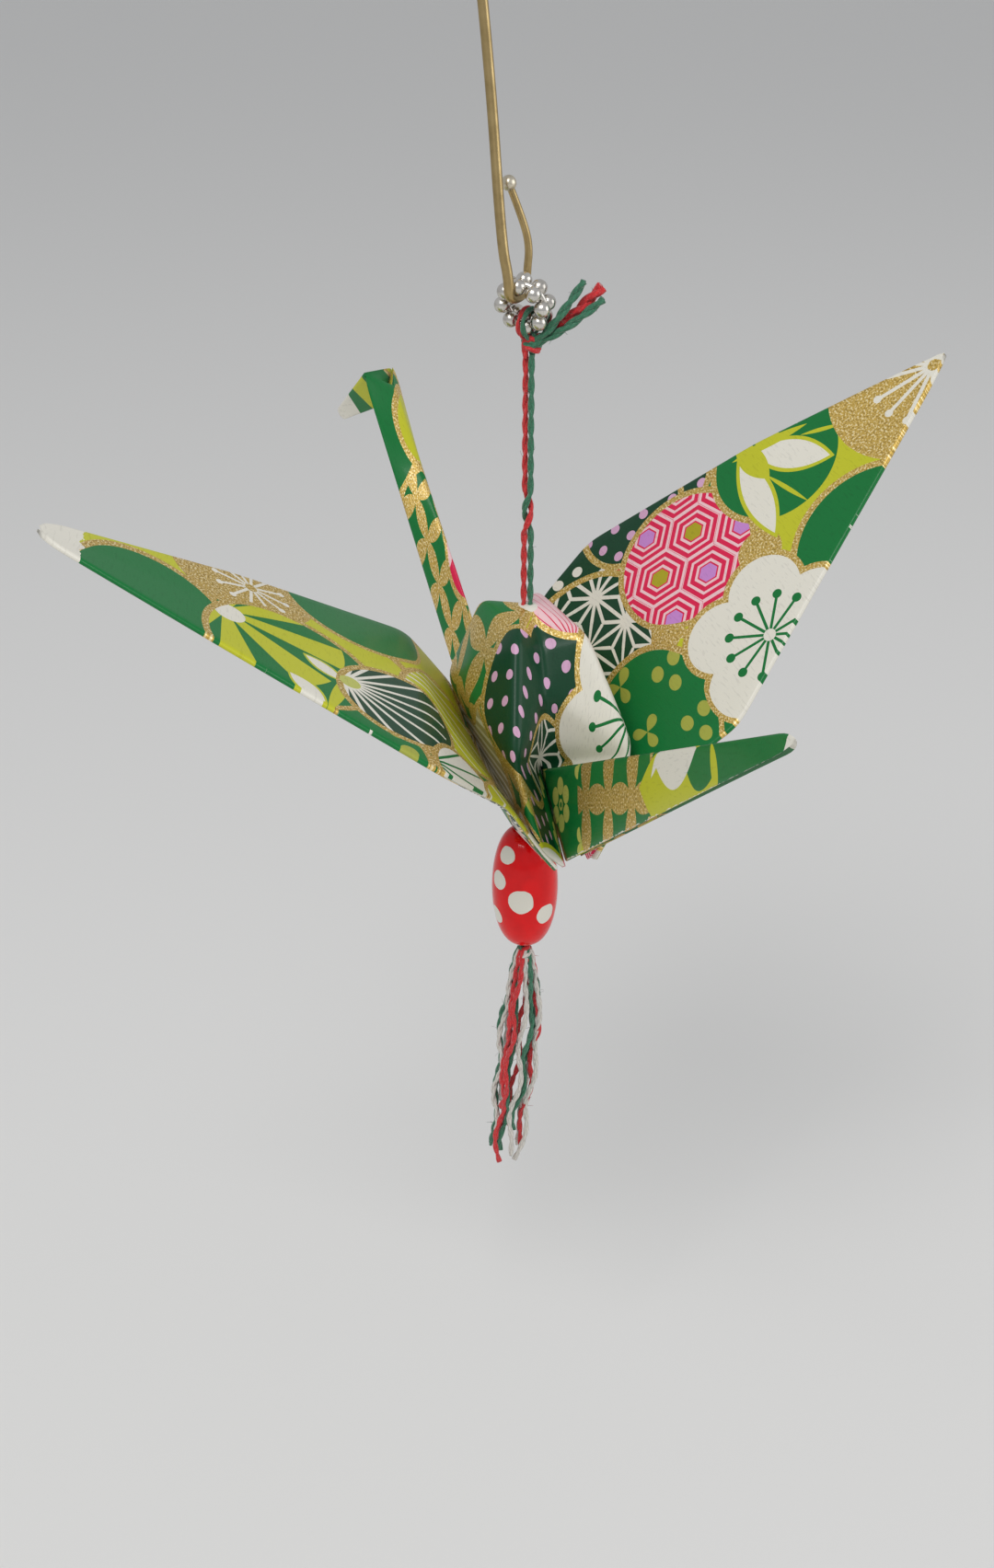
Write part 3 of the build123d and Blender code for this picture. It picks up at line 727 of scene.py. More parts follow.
# %% Points of the hump
APEX = 16.8
HUMP_T = 0.3
left_hinge = tuple((np.array(HINGE_TL) + HINGE_NL) / 2)
right_hinge = tuple((np.array(HINGE_TR) + HINGE_NR) / 2)
HUMP = {
    "o": ((0, 0, APEX), (0, 0)),
    "rtl": ((-4.6, 2.7, 15.6), (3.9, -3.9)),
    "rtr": ((-5.0, -3.4, 15.3), (3.9, 3.9)),
    "rnl": ((4.6, 2.5, 15.8), (-3.9, -3.9)),
    "rnr": ((5.0, -2.9, 15.8), (-3.9, 3.9)),
    "ytl": ((-9.4, 4.6, 7.2), (11.7, -11.7)),
    "ytr": ((-9.4, -6.0, 6.4), (11.7, 11.7)),
    "ynl": ((8.4, 4.2, 8.0), (-11.7, -11.7)),
    "ynr": ((9.8, -5.2, 8.0), (-11.7, 11.7)),
    "cl": ((-0.3, 5.4, 9.6), (0, -10.5)),
    "cr": ((0.2, -6.2, 9.6), (0, 10.5)),
    "htl": (HINGE_TL, (14.6, -18.0)),
    "hnl": (HINGE_NL, (-14.6, -18.0)),
    "htr": (HINGE_TR, (14.6, 18.0)),
    "hnr": (HINGE_NR, (-14.6, 18.0)),
    "hl": (left_hinge, (0, -20.7)),
    "hr": (right_hinge, (0, 20.7)),
    "vt1": ((-3.2, 0, 14.2), (4.0, 0)),
    "vt2": ((-4.9, 0.2, 11.0), (7.7, 0)),
    "vt3": ((-4.0, 0, 6.4), (12.4, 0)),
    "st": ((-2.4, -0.2, 3.2), (16.0, 0)),
    "vn1": ((3.4, 0, 14.4), (-4.0, 0)),
    "vn2": ((5.0, 0, 11.0), (-7.7, 0)),
    "vn3": ((4.2, 0, 7.0), (-12.4, 0)),
    "sn": ((2.6, 0, 3.6), (-16.0, 0)),
    "ktl": ((-8.7, -0.1, -3.25), (22.0, -9.0)),
    "ktr": ((-8.9, -2.2, -2.8), (22.0, 9.0)),
    "knl": ((8.0, 1.0, -1.9), (-22.0, -9.0)),
    "knr": ((8.4, -1.1, -1.9), (-22.0, 9.0)),
}
HUMP_FACES = """
o rtl vt1, rtl vt2 vt1, rtl ytl vt2, ytl vt3 vt2, ytl st vt3, ytl htl st,
o vt1 rtr, vt1 vt2 rtr, vt2 ytr rtr, vt2 vt3 ytr, vt3 st ytr, st htr ytr,
o rnl rtl, rtl rnl cl, rtl cl ytl, rnl ynl cl, ytl cl hl, ytl hl htl, cl ynl hl, ynl hnl hl,
o rtr rnr, rtr cr rnr, rtr ytr cr, rnr cr ynr, ytr hr cr, ytr htr hr, cr hr ynr, ynr hr hnr,
o vn1 rnl, rnl vn1 vn2, rnl vn2 ynl, ynl vn2 vn3, ynl vn3 sn, ynl sn hnl,
o rnr vn1, vn1 rnr vn2, vn2 rnr ynr, vn2 ynr vn3, vn3 ynr sn, sn ynr hnr,
htl ktl st, htr st ktr, hnl sn knl, sn hnr knr
"""
print("hump:", len(HUMP), "named points")

# %% [markdown]
# Cutting a triangle into small ones is a grid of mixes of its three corners. Points on a shared edge
# are mixes of the same two corners, so they are made only once and the panels hang together.
# A Subdivision Surface modifier would round the folds too, but it would also shrink the hump.

# %% Panels between named points
CUTS = 14
SOFTENINGS = 5
SOFTENING = 0.6


def cut_panels(named, faces):
    """Small triangles for large ones: points with place and flat place, and their corners."""
    index, points, small = {}, [], []

    def vertex(mix):
        """The number of the point that mixes named points by these shares."""
        key = tuple(sorted((n, s) for n, s in mix.items() if s))
        if key not in index:
            index[key] = len(points)
            points.append(sum(np.array((*crane(*named[n][0]), *named[n][1])) * s for n, s in key) / CUTS)
        return index[key]

    for a, b, c in faces:
        made = {(i, j): vertex({a: CUTS - i - j, b: i, c: j})
                for i in range(CUTS + 1) for j in range(CUTS + 1 - i)}
        for i in range(CUTS):
            for j in range(CUTS - i):
                small.append((made[i, j], made[i + 1, j], made[i, j + 1]))
                if i + j < CUTS - 1:
                    small.append((made[i + 1, j], made[i + 1, j + 1], made[i, j + 1]))
    return np.array(points), np.array(small)


def softened(points, small):
    """Moves each point toward the mean of its neighbours, a few times over. The rim stays."""
    edges = np.sort(np.concatenate([small[:, [0, 1]], small[:, [1, 2]], small[:, [2, 0]]]), axis=1)
    edges, uses = np.unique(edges, axis=0, return_counts=True)
    rim = np.unique(edges[uses == 1])
    for _ in range(SOFTENINGS):
        total = np.zeros_like(points)
        count = np.zeros(len(points))
        for a, b in ((0, 1), (1, 0)):
            np.add.at(total, edges[:, a], points[edges[:, b]])
            np.add.at(count, edges[:, a], 1)
        mean = total / count[:, None]
        mean[rim] = points[rim]
        points = (1.0 - SOFTENING) * points + SOFTENING * mean
    return points


def folded_panels(shape, named, faces, thickness):
    """Triangles between named points, cut finely, softened at the folds and given a thickness."""
    points, small = cut_panels(named, faces)
    points = softened(points, small)
    places, flats = points[:, :3], points[:, 3:]
    a, b, c = (places[small[:, k]] for k in range(3))
    facing = np.cross(b - a, c - a)
    normal = np.zeros_like(places)
    for k in range(3):
        np.add.at(normal, small[:, k], facing)
    normal = unit(normal)
    first = len(shape.points)
    for offset in (0.5, -0.5):
        shape.points.extend(map(tuple, places + normal * thickness * offset))
        shape.tint.extend([0.0] * len(places))
    for tri in small:
        shape.faces.append([first + i for i in tri])
        shape.flat.extend(flats[tri])
        shape.faces.append([first + len(places) + i for i in tri[::-1]])
        shape.flat.extend(flats[tri[::-1]])
    directed = {(t[i], t[(i + 1) % 3]) for t in small for i in range(3)}
    for p, q in sorted(directed):
        if (q, p) not in directed:
            shape.faces.append([first + q, first + p, first + len(places) + p, first + len(places) + q])
            shape.flat.extend(flats[[q, p, p, q]])


hump_faces = [corners.split() for corners in HUMP_FACES.split(",")]
folded_panels(crane_shape, HUMP, hump_faces, HUMP_T)
print("hump:", len(hump_faces), "panels")

# %% [markdown]
# Tail and neck are the sheet's two other corners, folded narrow and turned up between the wings.
# Each is a long roof: a ridge, two outer faces, and the same paper folded under at both lower edges.
# Four rails carry the section, and a mean round the section softens the edges.
# A rail is given by its point at the root and its point at the tip, each from the leg's own ends.

# %% Long folded legs
LEG_CUTS = 12
END_ROUNDING = (0.96, 0.84, 0.60, 0.25)
HEAD_ROUNDING = (0.99, 0.97, 0.93, 0.84)


def leg(shape, root, tip, rails, flats, steps=70, rounds=3, wear=0.9, rounding=END_ROUNDING):
    """A long folded strip between rails, from its wide end to its narrow one."""
    share = np.linspace(0, 1, steps)[:, None]
    ends = [(crane(*np.add(root, a)), crane(*np.add(tip, b))) for a, b in rails]
    corners = [a * (1 - share) + b * share for a, b in ends]
    places = [np.array(a) * (1 - share) + np.array(b) * share for a, b in flats]
    rows, flat = [], []
    for k, corner in enumerate(corners):
        nxt = corners[(k + 1) % len(corners)]
        for c in range(LEG_CUTS):
            part = c / LEG_CUTS
            rows.append(corner * (1 - part) + nxt * part)
            flat.append(places[k] * (1 - part) + places[k + 1] * part)
    rows = np.stack(rows, axis=1)
    flat = np.stack([*flat, places[-1]], axis=1)
    for _ in range(rounds):
        rows = 0.5 * rows + 0.25 * (np.roll(rows, 1, axis=1) + np.roll(rows, -1, axis=1))
    for k, shrink in enumerate(rounding):
        row = k - len(rounding)
        middle = rows[row].mean(axis=0)
        rows[row] = middle + (rows[row] - middle) * shrink
    worn = np.zeros(len(corners) * LEG_CUTS)
    worn[[LEG_CUTS, (len(corners) - 1) * LEG_CUTS]] = wear
    shape.skin(rows, flat, worn[None])

# %% [markdown]
# The tail leaves the body low at the back and runs out to a worn tip. The neck leaves it at the
# front, leans a little to the left, and ends broad, where the head was folded down from it.
# The beak hangs from the neck's top and has only three rails.

# %% Tail, neck and beak
BODY = (0.0, 0.0, 0.0)
TAIL_TIP = (-47.0, 0.6, 25.0)
NECK_TOP = (23.0, 3.7, 29.2)
BEAK_TIP = (31.0, 6.7, 25.2)
leg(crane_shape, BODY, TAIL_TIP,
    [((-2.2, -0.3, 3.4), (0.3, 0.0, 0.5)),
     ((-8.6, -0.35, -3.3), (0.2, 0.5, -0.7)),
     ((-8.6, -1.0, 0.4), (3.0, -0.1, -1.6)),
     ((-8.8, -1.7, -2.9), (0.2, -0.5, -0.7))],
    [((20.7, 0), (70.2, 0)), ((27.3, -8.6), (70.0, -0.6)), ((34.0, -17.0), (69.0, -1.2)),
     ((27.3, 8.6), (70.0, 0.6)), ((20.7, 0), (70.2, 0))], wear=1.5)
leg(crane_shape, BODY, NECK_TOP,
    [((2.6, 0.1, 3.8), (0.0, 0.0, 0.0)),
     ((9.0, -0.9, -1.8), (3.0, -0.8, 1.6)),
     ((7.4, 0.1, 1.0), (0.6, 0.6, -0.1)),
     ((8.6, 0.9, -1.8), (-0.4, 3.4, 2.1))],
    [((-20.7, 0), (-56.0, 0)), ((-27.0, 8.8), (-57.7, 2.9)), ((-34.0, 17.0), (-59.0, 5.8)),
     ((-27.0, -8.8), (-57.7, -2.9)), ((-20.7, 0), (-56.0, 0))], rounding=HEAD_ROUNDING)
leg(crane_shape, NECK_TOP, BEAK_TIP,
    [((0.1, 0.1, -1.2), (-0.4, 0.1, -0.5)),
     ((2.8, -0.5, 1.3), (0.2, -0.4, 0.3)),
     ((0.2, 3.1, 1.7), (0.0, 0.5, 0.4))],
    [((-57.0, 0), (-70.0, 0)), ((-58.0, 3.0), (-70.2, 0.4)), ((-58.0, -3.0), (-70.2, -0.4)),
     ((-57.0, 0), (-70.0, 0))], steps=40, rounds=2)
folded_crane = crane_shape.piece("paper_crane", "folded_crane", "printed_paper")

# %% [markdown]
# A finish is a tree of nodes. Typing each node and link takes many lines, so Ink lets a sum over
# the surface be written as a sum: each operation adds one node and hands back its output.
# The same could be drawn by hand in the shader editor, node for node.

# %% Ink, sums over a surface
class Ink:
    """A number or a place that changes over a surface, held by a node's output."""

    tree = None

    def __init__(self, socket):
        self.socket = socket

    def __add__(self, other):
        return calc("ADD", self, other)

    def __sub__(self, other):
        return calc("SUBTRACT", self, other)

    def __rsub__(self, other):
        return calc("SUBTRACT", other, self)

    def __mul__(self, other):
        return calc("MULTIPLY", self, other)

    def __lt__(self, other):
        return calc("LESS_THAN", self, other)

    def __gt__(self, other):
        return calc("GREATER_THAN", self, other)

    __radd__ = __add__
    __rmul__ = __mul__


def feed(socket, term):
    """Links an Ink to a socket, or sets a plain value on it."""
    if isinstance(term, Ink):
        Ink.tree.links.new(term.socket, socket)
    elif socket.type == "RGBA":
        socket.default_value = (*term, 1.0)
    else:
        socket.default_value = term


def dress(node, terms):
    """Feeds a node's inputs by their names, or in their order."""
    pairs = terms.items() if isinstance(terms, dict) else enumerate(terms)
    for key, term in pairs:
        feed(node.inputs[key], term)
    return node


def node_of(kind, **settings):
    """A new node in the finish's tree, with its settings."""
    node = Ink.tree.nodes.new("ShaderNode" + kind)
    for name, value in settings.items():
        setattr(node, name, value)
    return node


def calc(operation, *terms):
    """One sum on numbers."""
    return Ink(dress(node_of("Math", operation=operation), terms).outputs[0])


def shift(operation, *terms):
    """One sum on places."""
    node = dress(node_of("VectorMath", operation=operation), terms)
    number = operation in ("DISTANCE", "LENGTH", "DOT_PRODUCT")
    return Ink(node.outputs["Value" if number else "Vector"])

# %% [markdown]
# A few kinds of node are used again and again: a mix of two colours or places, the parts of a place,
# noise, and the values that the mesh carries. Each gets a short function, so that a finish reads
# like a recipe: what lies on what, and where.

# %% Nodes in common use
MIX_SOCKETS = {"RGBA": (6, 7, 2), "VECTOR": (4, 5, 1)}


def laid(under, over, mask, kind="RGBA"):
    """One colour, or one place, laid over another where the mask is 1."""
    first, second, made = MIX_SOCKETS[kind]
    node = dress(node_of("Mix", data_type=kind), {0: mask, first: under, second: over})
    return Ink(node.outputs[made])


def parts(place):
    """The x and y of a place."""
    node = dress(node_of("SeparateXYZ"), [place])
    return Ink(node.outputs[0]), Ink(node.outputs[1])


def speckle(place, scale, detail):
    """Soft noise between 0 and 1."""
    node = dress(node_of("TexNoise"), {"Vector": place, "Scale": scale, "Detail": detail})
    return Ink(node.outputs["Fac"])


def finish_of(name, piece):
    """A new finish on a piece: hands back its main shader."""
    made = bpy.data.materials.new(name)
    made.use_nodes = True
    piece.data.materials.append(made)
    Ink.tree = made.node_tree
    return made.node_tree.nodes["Principled BSDF"]


def read(kind):
    """A value that the mesh carries: its flat map, its tint, or its place in millimetres."""
    if kind == "flat":
        return Ink(node_of("UVMap", uv_map="flat").outputs["UV"])
    if kind == "tint":
        return Ink(node_of("Attribute", attribute_name="tint").outputs["Fac"])
    return shift("MULTIPLY", Ink(node_of("TexCoord").outputs["Object"]), (1 / MM, 1 / MM, 1 / MM))


def bumped(shader, height, depth, strength=1.0):
    """Raises the surface a little by a height, for gloss only."""
    node = dress(node_of("Bump"), {"Strength": strength, "Distance": depth * MM, "Height": height})
    feed(shader.inputs["Normal"], Ink(node.outputs["Normal"]))

# %% [markdown]
# The paper is printed all over with traditional roundels: tortoiseshell hexagons, hemp leaf,
# plum blossom, linked rings, dots and fans, each in its own disc with a gold outline.
# An image would be the usual way, but here each pattern is a short formula over the flat sheet.
# First come the tools that fold the plane: a lattice of cells, and a turn cut into equal sectors.
# A sum that two shapes need is made once and handed on, which keeps the shader small.

# %% Folding the plane
crane_shader = finish_of("printed_paper", folded_crane)
sheet = read("flat")


def moved(centre, turn=0.0):
    """The sheet as seen from a centre, with the plane turned back by an angle in degrees."""
    here = shift("SUBTRACT", sheet, (*centre, 0.0))
    if not turn:
        return here
    node = dress(node_of("VectorRotate", rotation_type="Z_AXIS"), {"Vector": here, "Angle": -radians(turn)})
    return Ink(node.outputs["Vector"])


def from_middle(centre):
    """Distance from a centre on the sheet."""
    return shift("LENGTH", moved(centre))


def cells(place, size):
    """The place inside the nearest cell of a honeycomb lattice, from that cell's middle."""
    tall = size * 3 ** 0.5
    half = (size / 2, tall / 2, 1.0)
    back = (-size / 2, -tall / 2, -1.0)
    first = shift("WRAP", place, half, back)
    second = shift("WRAP", shift("ADD", place, half), half, back)
    nearer = shift("LENGTH", second) < shift("LENGTH", first)
    return laid(first, second, nearer, "VECTOR")


def polar(here):
    """The turn of a place round the middle, and its reach."""
    x, y = parts(here)
    return calc("ARCTAN2", y, x), shift("LENGTH", here)


def sectors(around, count, turn=0.0):
    """Folds a turn into equal sectors: the place along the sector's axis, off it, and its reach."""
    angle, reach = around
    angle = calc("PINGPONG", angle - radians(turn), pi / count)
    return reach * calc("COSINE", angle), reach * calc("SINE", angle), reach


def gap(x, y):
    """Length of the arrow (x, y)."""
    return calc("SQRT", x * x + y * y)

# %% [markdown]
# The inks of the print, as Blender's linear colours. The gold is a key colour:
# whatever is exactly gold in the finished print becomes foil in the last step.

# %% Inks
GOLD = (0.660, 0.450, 0.110)
LEAF = (0.003, 0.165, 0.034)
DEEP = (0.003, 0.050, 0.019)
SNOW = (0.760, 0.730, 0.640)
LIME = (0.520, 0.530, 0.022)
OLIVE = (0.400, 0.350, 0.012)
LILAC = (0.560, 0.240, 0.600)
ROSE = (0.700, 0.012, 0.075)
BLUSH = (0.860, 0.560, 0.590)
PETAL = (0.660, 0.380, 0.560)
MOSS = (0.370, 0.390, 0.060)
STRAW = (0.420, 0.370, 0.200)
CELERY = (0.500, 0.520, 0.120)

# %% [markdown]
# Each pattern takes the place on the sheet that it starts from, its turn and its sizes,
# and hands back a colour. The numbers were fitted to the roundels in the picture.

# %% Patterns of the print
HEXAGON_SIZE = 4.85
HEXAGON_STEP = 0.33
HEXAGON_EYE = 0.78
HEMP_LINE = 0.18
HEMP_EYE = 0.55


def tortoiseshell(origin, turn):
    """Hexagons inside hexagons, red and blush, with olive and lilac middles by turns."""
    here = moved(origin, turn)
    cell = cells(here, HEXAGON_SIZE)
    reach = 0.0
    for angle in (0, 60, 120):
        way = (cos(radians(angle)), sin(radians(angle)), 0.0)
        reach = calc("MAXIMUM", reach, calc("ABSOLUTE", shift("DOT_PRODUCT", cell, way)))
    stripes = laid(ROSE, BLUSH, calc("PINGPONG", reach - 0.72, HEXAGON_STEP) > 0.205)
    middle = shift("SUBTRACT", here, cell)
    per_column = (1 / HEXAGON_SIZE, 1 / (HEXAGON_SIZE * 3 ** 0.5), 0.0)
    column = calc("ROUND", shift("DOT_PRODUCT", middle, per_column))
    return laid(stripes, laid(OLIVE, LILAC, calc("PINGPONG", column, 1.0)), reach < HEXAGON_EYE)


def hemp_leaf(origin, turn, size):
    """Stars of twelve white rays that meet their neighbours' rays."""
    _, off, reach = sectors(polar(cells(moved(origin, turn), size)), 12)
    return laid(DEEP, SNOW, calc("MAXIMUM", off < HEMP_LINE, reach < HEMP_EYE))


def dots(origin, turn, dot, size, radius):
    """Round dots in rows and columns."""
    half = size / 2
    cell = shift("WRAP", moved(origin, turn), (half, half, 1.0), (-half, -half, -1.0))
    return laid(DEEP, dot, shift("LENGTH", cell) < radius)


def linked_rings(origin, turn, size, plump):
    """Gold petals where rings overlap."""
    node = shift("WRAP", moved(origin, turn), (size, size, 1.0), (0.0, 0.0, -1.0))
    x, y = parts(shift("ABSOLUTE", shift("SUBTRACT", node, (size / 2, size / 2, 0.0))))
    far = size - calc("MAXIMUM", x, y)
    return laid(LEAF, GOLD, gap(far, calc("MINIMUM", x, y)) < plump * size)


def dot_flowers(origin, turn, dot, size, petals, reach, radius, eye=0.0):
    """Small flowers of round dots, and for some a fine ring in the middle."""
    x, y, far = sectors(polar(cells(moved(origin, turn), size)), petals)
    flower = laid(LEAF, dot, gap(x - reach, y) < radius)
    return laid(flower, dot, calc("ABSOLUTE", far - eye) < 0.12) if eye else flower


def fan(origin, ground, line, count, width, grow=0.0, start=0.8, reach=9.0, turn=0.0):
    """Rays from one point, of even width or growing wider."""
    _, off, far = sectors(polar(moved(origin)), count, turn)
    rays = (off - far * grow) < width
    return laid(ground, line, rays * (far > start) * (far < reach))


def stamens(around, under, line, count, reach, turn=0.0, width=0.13, knob=0.42):
    """Rays with a knob at the end, round an open middle."""
    x, y, far = sectors(around, count, turn)
    rays = (y < width) * (x < reach) * (far > 0.55)
    return laid(under, line, calc("MAXIMUM", rays, gap(x - reach, y) < knob))


def gilt_stamens(centre, count, reach, width, knob):
    """White stamens on a gold ground."""
    return stamens(polar(moved(centre)), GOLD, SNOW, count, reach, width=width, knob=knob)

# %% [markdown]
# The whole sheet first gets a ground of discs in a lattice, each with a pattern picked by chance
# for its cell, so that the folded-under paper and the far sides are printed as well.
# Then come the discs that show in the picture, one over the other, placed in sheet millimetres.

# %% The ground of discs
OUTLINE = 0.30
DISC_STEP = 13.2
DISC_R = 6.5
tortoise = tortoiseshell((-3.7, 41.1), -15.6)
hemp = hemp_leaf((-8.0, 35.6), 9.0, 4.7)
pink_dots = dots((-11.4, 38.8), 20.0, PETAL, 2.15, 0.47)
flowers = dot_flowers((4.3, 36.4), -9.0, MOSS, 6.2, 3, 1.38, 0.76)
rings = linked_rings((32.5, -3.3), 0.0, 5.1, 0.73)
u, v = parts(sheet)

cell = cells(sheet, DISC_STEP)
cell_number = shift("FLOOR", shift("ADD", shift("SUBTRACT", sheet, cell), (0.5, 0.5, 0.5)))
lot = Ink(dress(node_of("TexWhiteNoise", noise_dimensions="2D"), {"Vector": cell_number}).outputs["Value"])
pick = LEAF
for k, pattern in enumerate((pink_dots, flowers, tortoise, hemp, rings, LIME)):
    pick = laid(pick, pattern, lot > 0.16 + 0.14 * k)
disc = shift("LENGTH", cell) - DISC_R
colour = laid(laid(flowers, pick, disc < 0.0), GOLD, calc("ABSOLUTE", disc) < OUTLINE)
print("ground:", len(Ink.tree.nodes), "nodes")

# %% [markdown]
# Three kinds of print are laid on that ground one by one: discs, pointed leaves and plum blossoms.
# Each function takes the colour so far and hands back the colour with one more print on it,
# so a list of prints in their order is all that each part of the crane needs.

# %% Laying prints on the sheet
def disc_on(colour, pattern, centre, radius, outline=OUTLINE, stretch=1.0, shown=1.0):
    """Lays a disc of a pattern on the print, with a gold outline where it is shown."""
    here = moved(centre)
    if stretch != 1.0:
        here = shift("MULTIPLY", here, (1 / stretch, 1.0, 1.0))
    edge = shift("LENGTH", here) - radius
    inked = laid(colour, pattern, edge < 0.0)
    return laid(inked, GOLD, (calc("ABSOLUTE", edge) < outline) * shown) if outline else inked


def lens_on(colour, fill, middle, turn, long, wide, rim=0.0):
    """Lays a pointed leaf on the print, for some with a lime rim."""
    x, y = parts(moved(middle, turn))
    bow = calc("ABSOLUTE", y) + x * x * (wide / long ** 2)
    inked = laid(colour, LIME, bow < wide + rim) if rim else colour
    return laid(inked, fill, bow < wide)


def blossom_on(colour, centre, turn, reach=4.3, radius=3.25, rays=3.7):
    """Lays a white plum blossom with green stamens and a gold outline on the print."""
    around = polar(moved(centre))
    x, y, far = sectors(around, 5, turn)
    inside = calc("MINIMUM", gap(x - reach, y) - radius, far - reach)
    inked = laid(colour, GOLD, inside < 0.55)
    inked = laid(inked, SNOW, inside < 0.0)
    return stamens(around, inked, LEAF, 12, rays, turn=15.0)


def lay_on(colour, *prints):
    """Lays prints on the paper in their order. Each is a way of laying and its figures."""
    for way, *figures in prints:
        colour = way(colour, *figures)
    print(len(prints), "prints,", len(Ink.tree.nodes), "nodes so far")
    return colour

# %% [markdown]
# The right wing faces the picture with its whole upper side: a plum blossom, tortoiseshell
# and hemp leaf in the middle, leaves on green and lime toward the tip, and gilt at the tip itself.

# %% Print of the right wing
white_dots = dots((-11.8, 35.9), -11.0, SNOW, 2.0, 0.5)
colour = lay_on(
    colour,
    (disc_on, white_dots, (-12.5, 34.5), 4.8),
    (disc_on, pink_dots, (-12.0, 42.8), 5.2),
    (disc_on, GOLD, (0.8, 37.8), 2.6, 0.0),
    (disc_on, hemp, (-4.4, 32.4), 7.1),
    (disc_on, flowers, (7.0, 31.0), 8.2),
    (disc_on, tortoise, (-3.3, 43.8), 6.55),
    (disc_on, LIME, (3.0, 56.5), 7.0),
    (disc_on, GOLD, (2.0, 48.8), 2.0, 0.0),
    (disc_on, LEAF, (-4.3, 54.8), 5.8, OUTLINE, 1.0, v < 51.6),
    (lens_on, SNOW, (-2.6, 51.75), -14.0, 4.4, 1.2, 0.35),
    (lens_on, SNOW, (-3.3, 56.1), 36.0, 3.6, 1.35, 0.35),
    (lens_on, LIME, (-5.7, 53.4), 0.0, 2.7, 1.1),
    (lens_on, LIME, (-5.9, 55.4), 67.5, 3.6, 0.45),
    (lens_on, LIME, (-1.0, 53.9), 11.0, 2.7, 0.2),
    (lens_on, LIME, (-3.0, 59.2), 54.0, 1.9, 0.2),
    (disc_on, LEAF, (9.5, 56.0), 7.2),
    (disc_on, gilt_stamens((0.2, 69.0), 17, 5.2, 0.17, 0.36), (-0.2, 67.3), 7.3),
    (blossom_on, (9.2, 44.9), -136.0),
)

# %% [markdown]
# The left wing is seen at a low angle, so its discs are drawn out to long bands in the picture.
# Fans of fine lines, a green sun with lime rays and two small leaves lie along it.

# %% Print of the left wing
sun = fan((0.4, -55.4), LEAF, LIME, 9, 0.2, grow=0.17, start=0.0, reach=10.0, turn=8.0)
sun = laid(sun, SNOW, from_middle((0.6, -55.0)) < 1.3)
colour = lay_on(
    colour,
    (disc_on, LIME, (-3.0, -63.0), 7.0),
    (disc_on, LEAF, (3.6, -61.5), 6.4),
    (disc_on, gilt_stamens((-5.6, -53.2), 12, 3.1, 0.14, 0.3), (-6.8, -54.0), 6.0),
    (disc_on, LEAF, (-11.0, -43.5), 7.0),
    (disc_on, sun, (3.6, -50.0), 7.0),
    (lens_on, SNOW, (3.6, -47.3), 55.0, 1.8, 0.7, 0.25),
    (lens_on, SNOW, (8.2, -48.9), 45.0, 1.9, 0.8, 0.25),
    (lens_on, LIME, (6.8, -46.2), -16.0, 4.4, 0.55),
    (disc_on, fan((-4.0, -46.0), LIME, SNOW, 40, 0.14, reach=20.0), (0.5, -33.0), 7.4),
    (disc_on, fan((4.2, -45.6), DEEP, SNOW, 24, 0.17, start=0.0, reach=9.4), (5.0, -40.6), 5.5),
    (disc_on, CELERY, (4.3, -45.2), 0.9, 0.0),
    (disc_on, fan((12.4, -39.4), SNOW, LEAF, 16, 0.16, start=0.5), (11.6, -34.6), 4.2),
    (disc_on, fan((3.0, -31.0), LIME, SNOW, 22, 0.2), (11.8, -27.0), 4.4),
    (disc_on, SNOW, (10.2, -20.4), 3.6),
    (disc_on, fan((-30.0, -16.0), STRAW, SNOW, 150, 0.28, reach=60.0), (-2.0, -17.5), 8.4),
)

# %% [markdown]
# On the hump two dark discs with pink dots run into one another inside one gold outline,
# which is what the smaller of two distances gives. A hemp leaf and a blossom lie beside them.

# %% Print of the hump
hump_dots = dots((4.5, -9.4), 29.7, PETAL, 2.3, 0.46)
colour = disc_on(colour, linked_rings((0.3, -6.4), -8.0, 5.2, 0.72), (-4.5, -6.2), 8.0)
edge = calc("MINIMUM", from_middle((9.0, -5.5)) - 7.2, from_middle((5.6, 1.8)) - 4.2)
colour = laid(colour, GOLD, edge < OUTLINE)
colour = laid(colour, hump_dots, edge < -OUTLINE)
colour = lay_on(
    colour,
    (disc_on, hemp_leaf((14.4, -1.0), 10.0, 5.6), (14.8, -1.4), 5.0),
    (disc_on, fan((4.4, 2.6), BLUSH, ROSE, 30, 0.05, start=0.5), (0.0, 3.6), 3.8),
    (blossom_on, (9.0, 10.2), 220.0, 5.0, 3.6, 4.3),
)

# %% [markdown]
# The tail shows flowers of dots at its root, linked gold rings, then a white and a green leaf
# on lime, and plain green to the tip. The neck has gold rings and a red patch, the head a lime one,
# and the beak runs from lime over green to white.

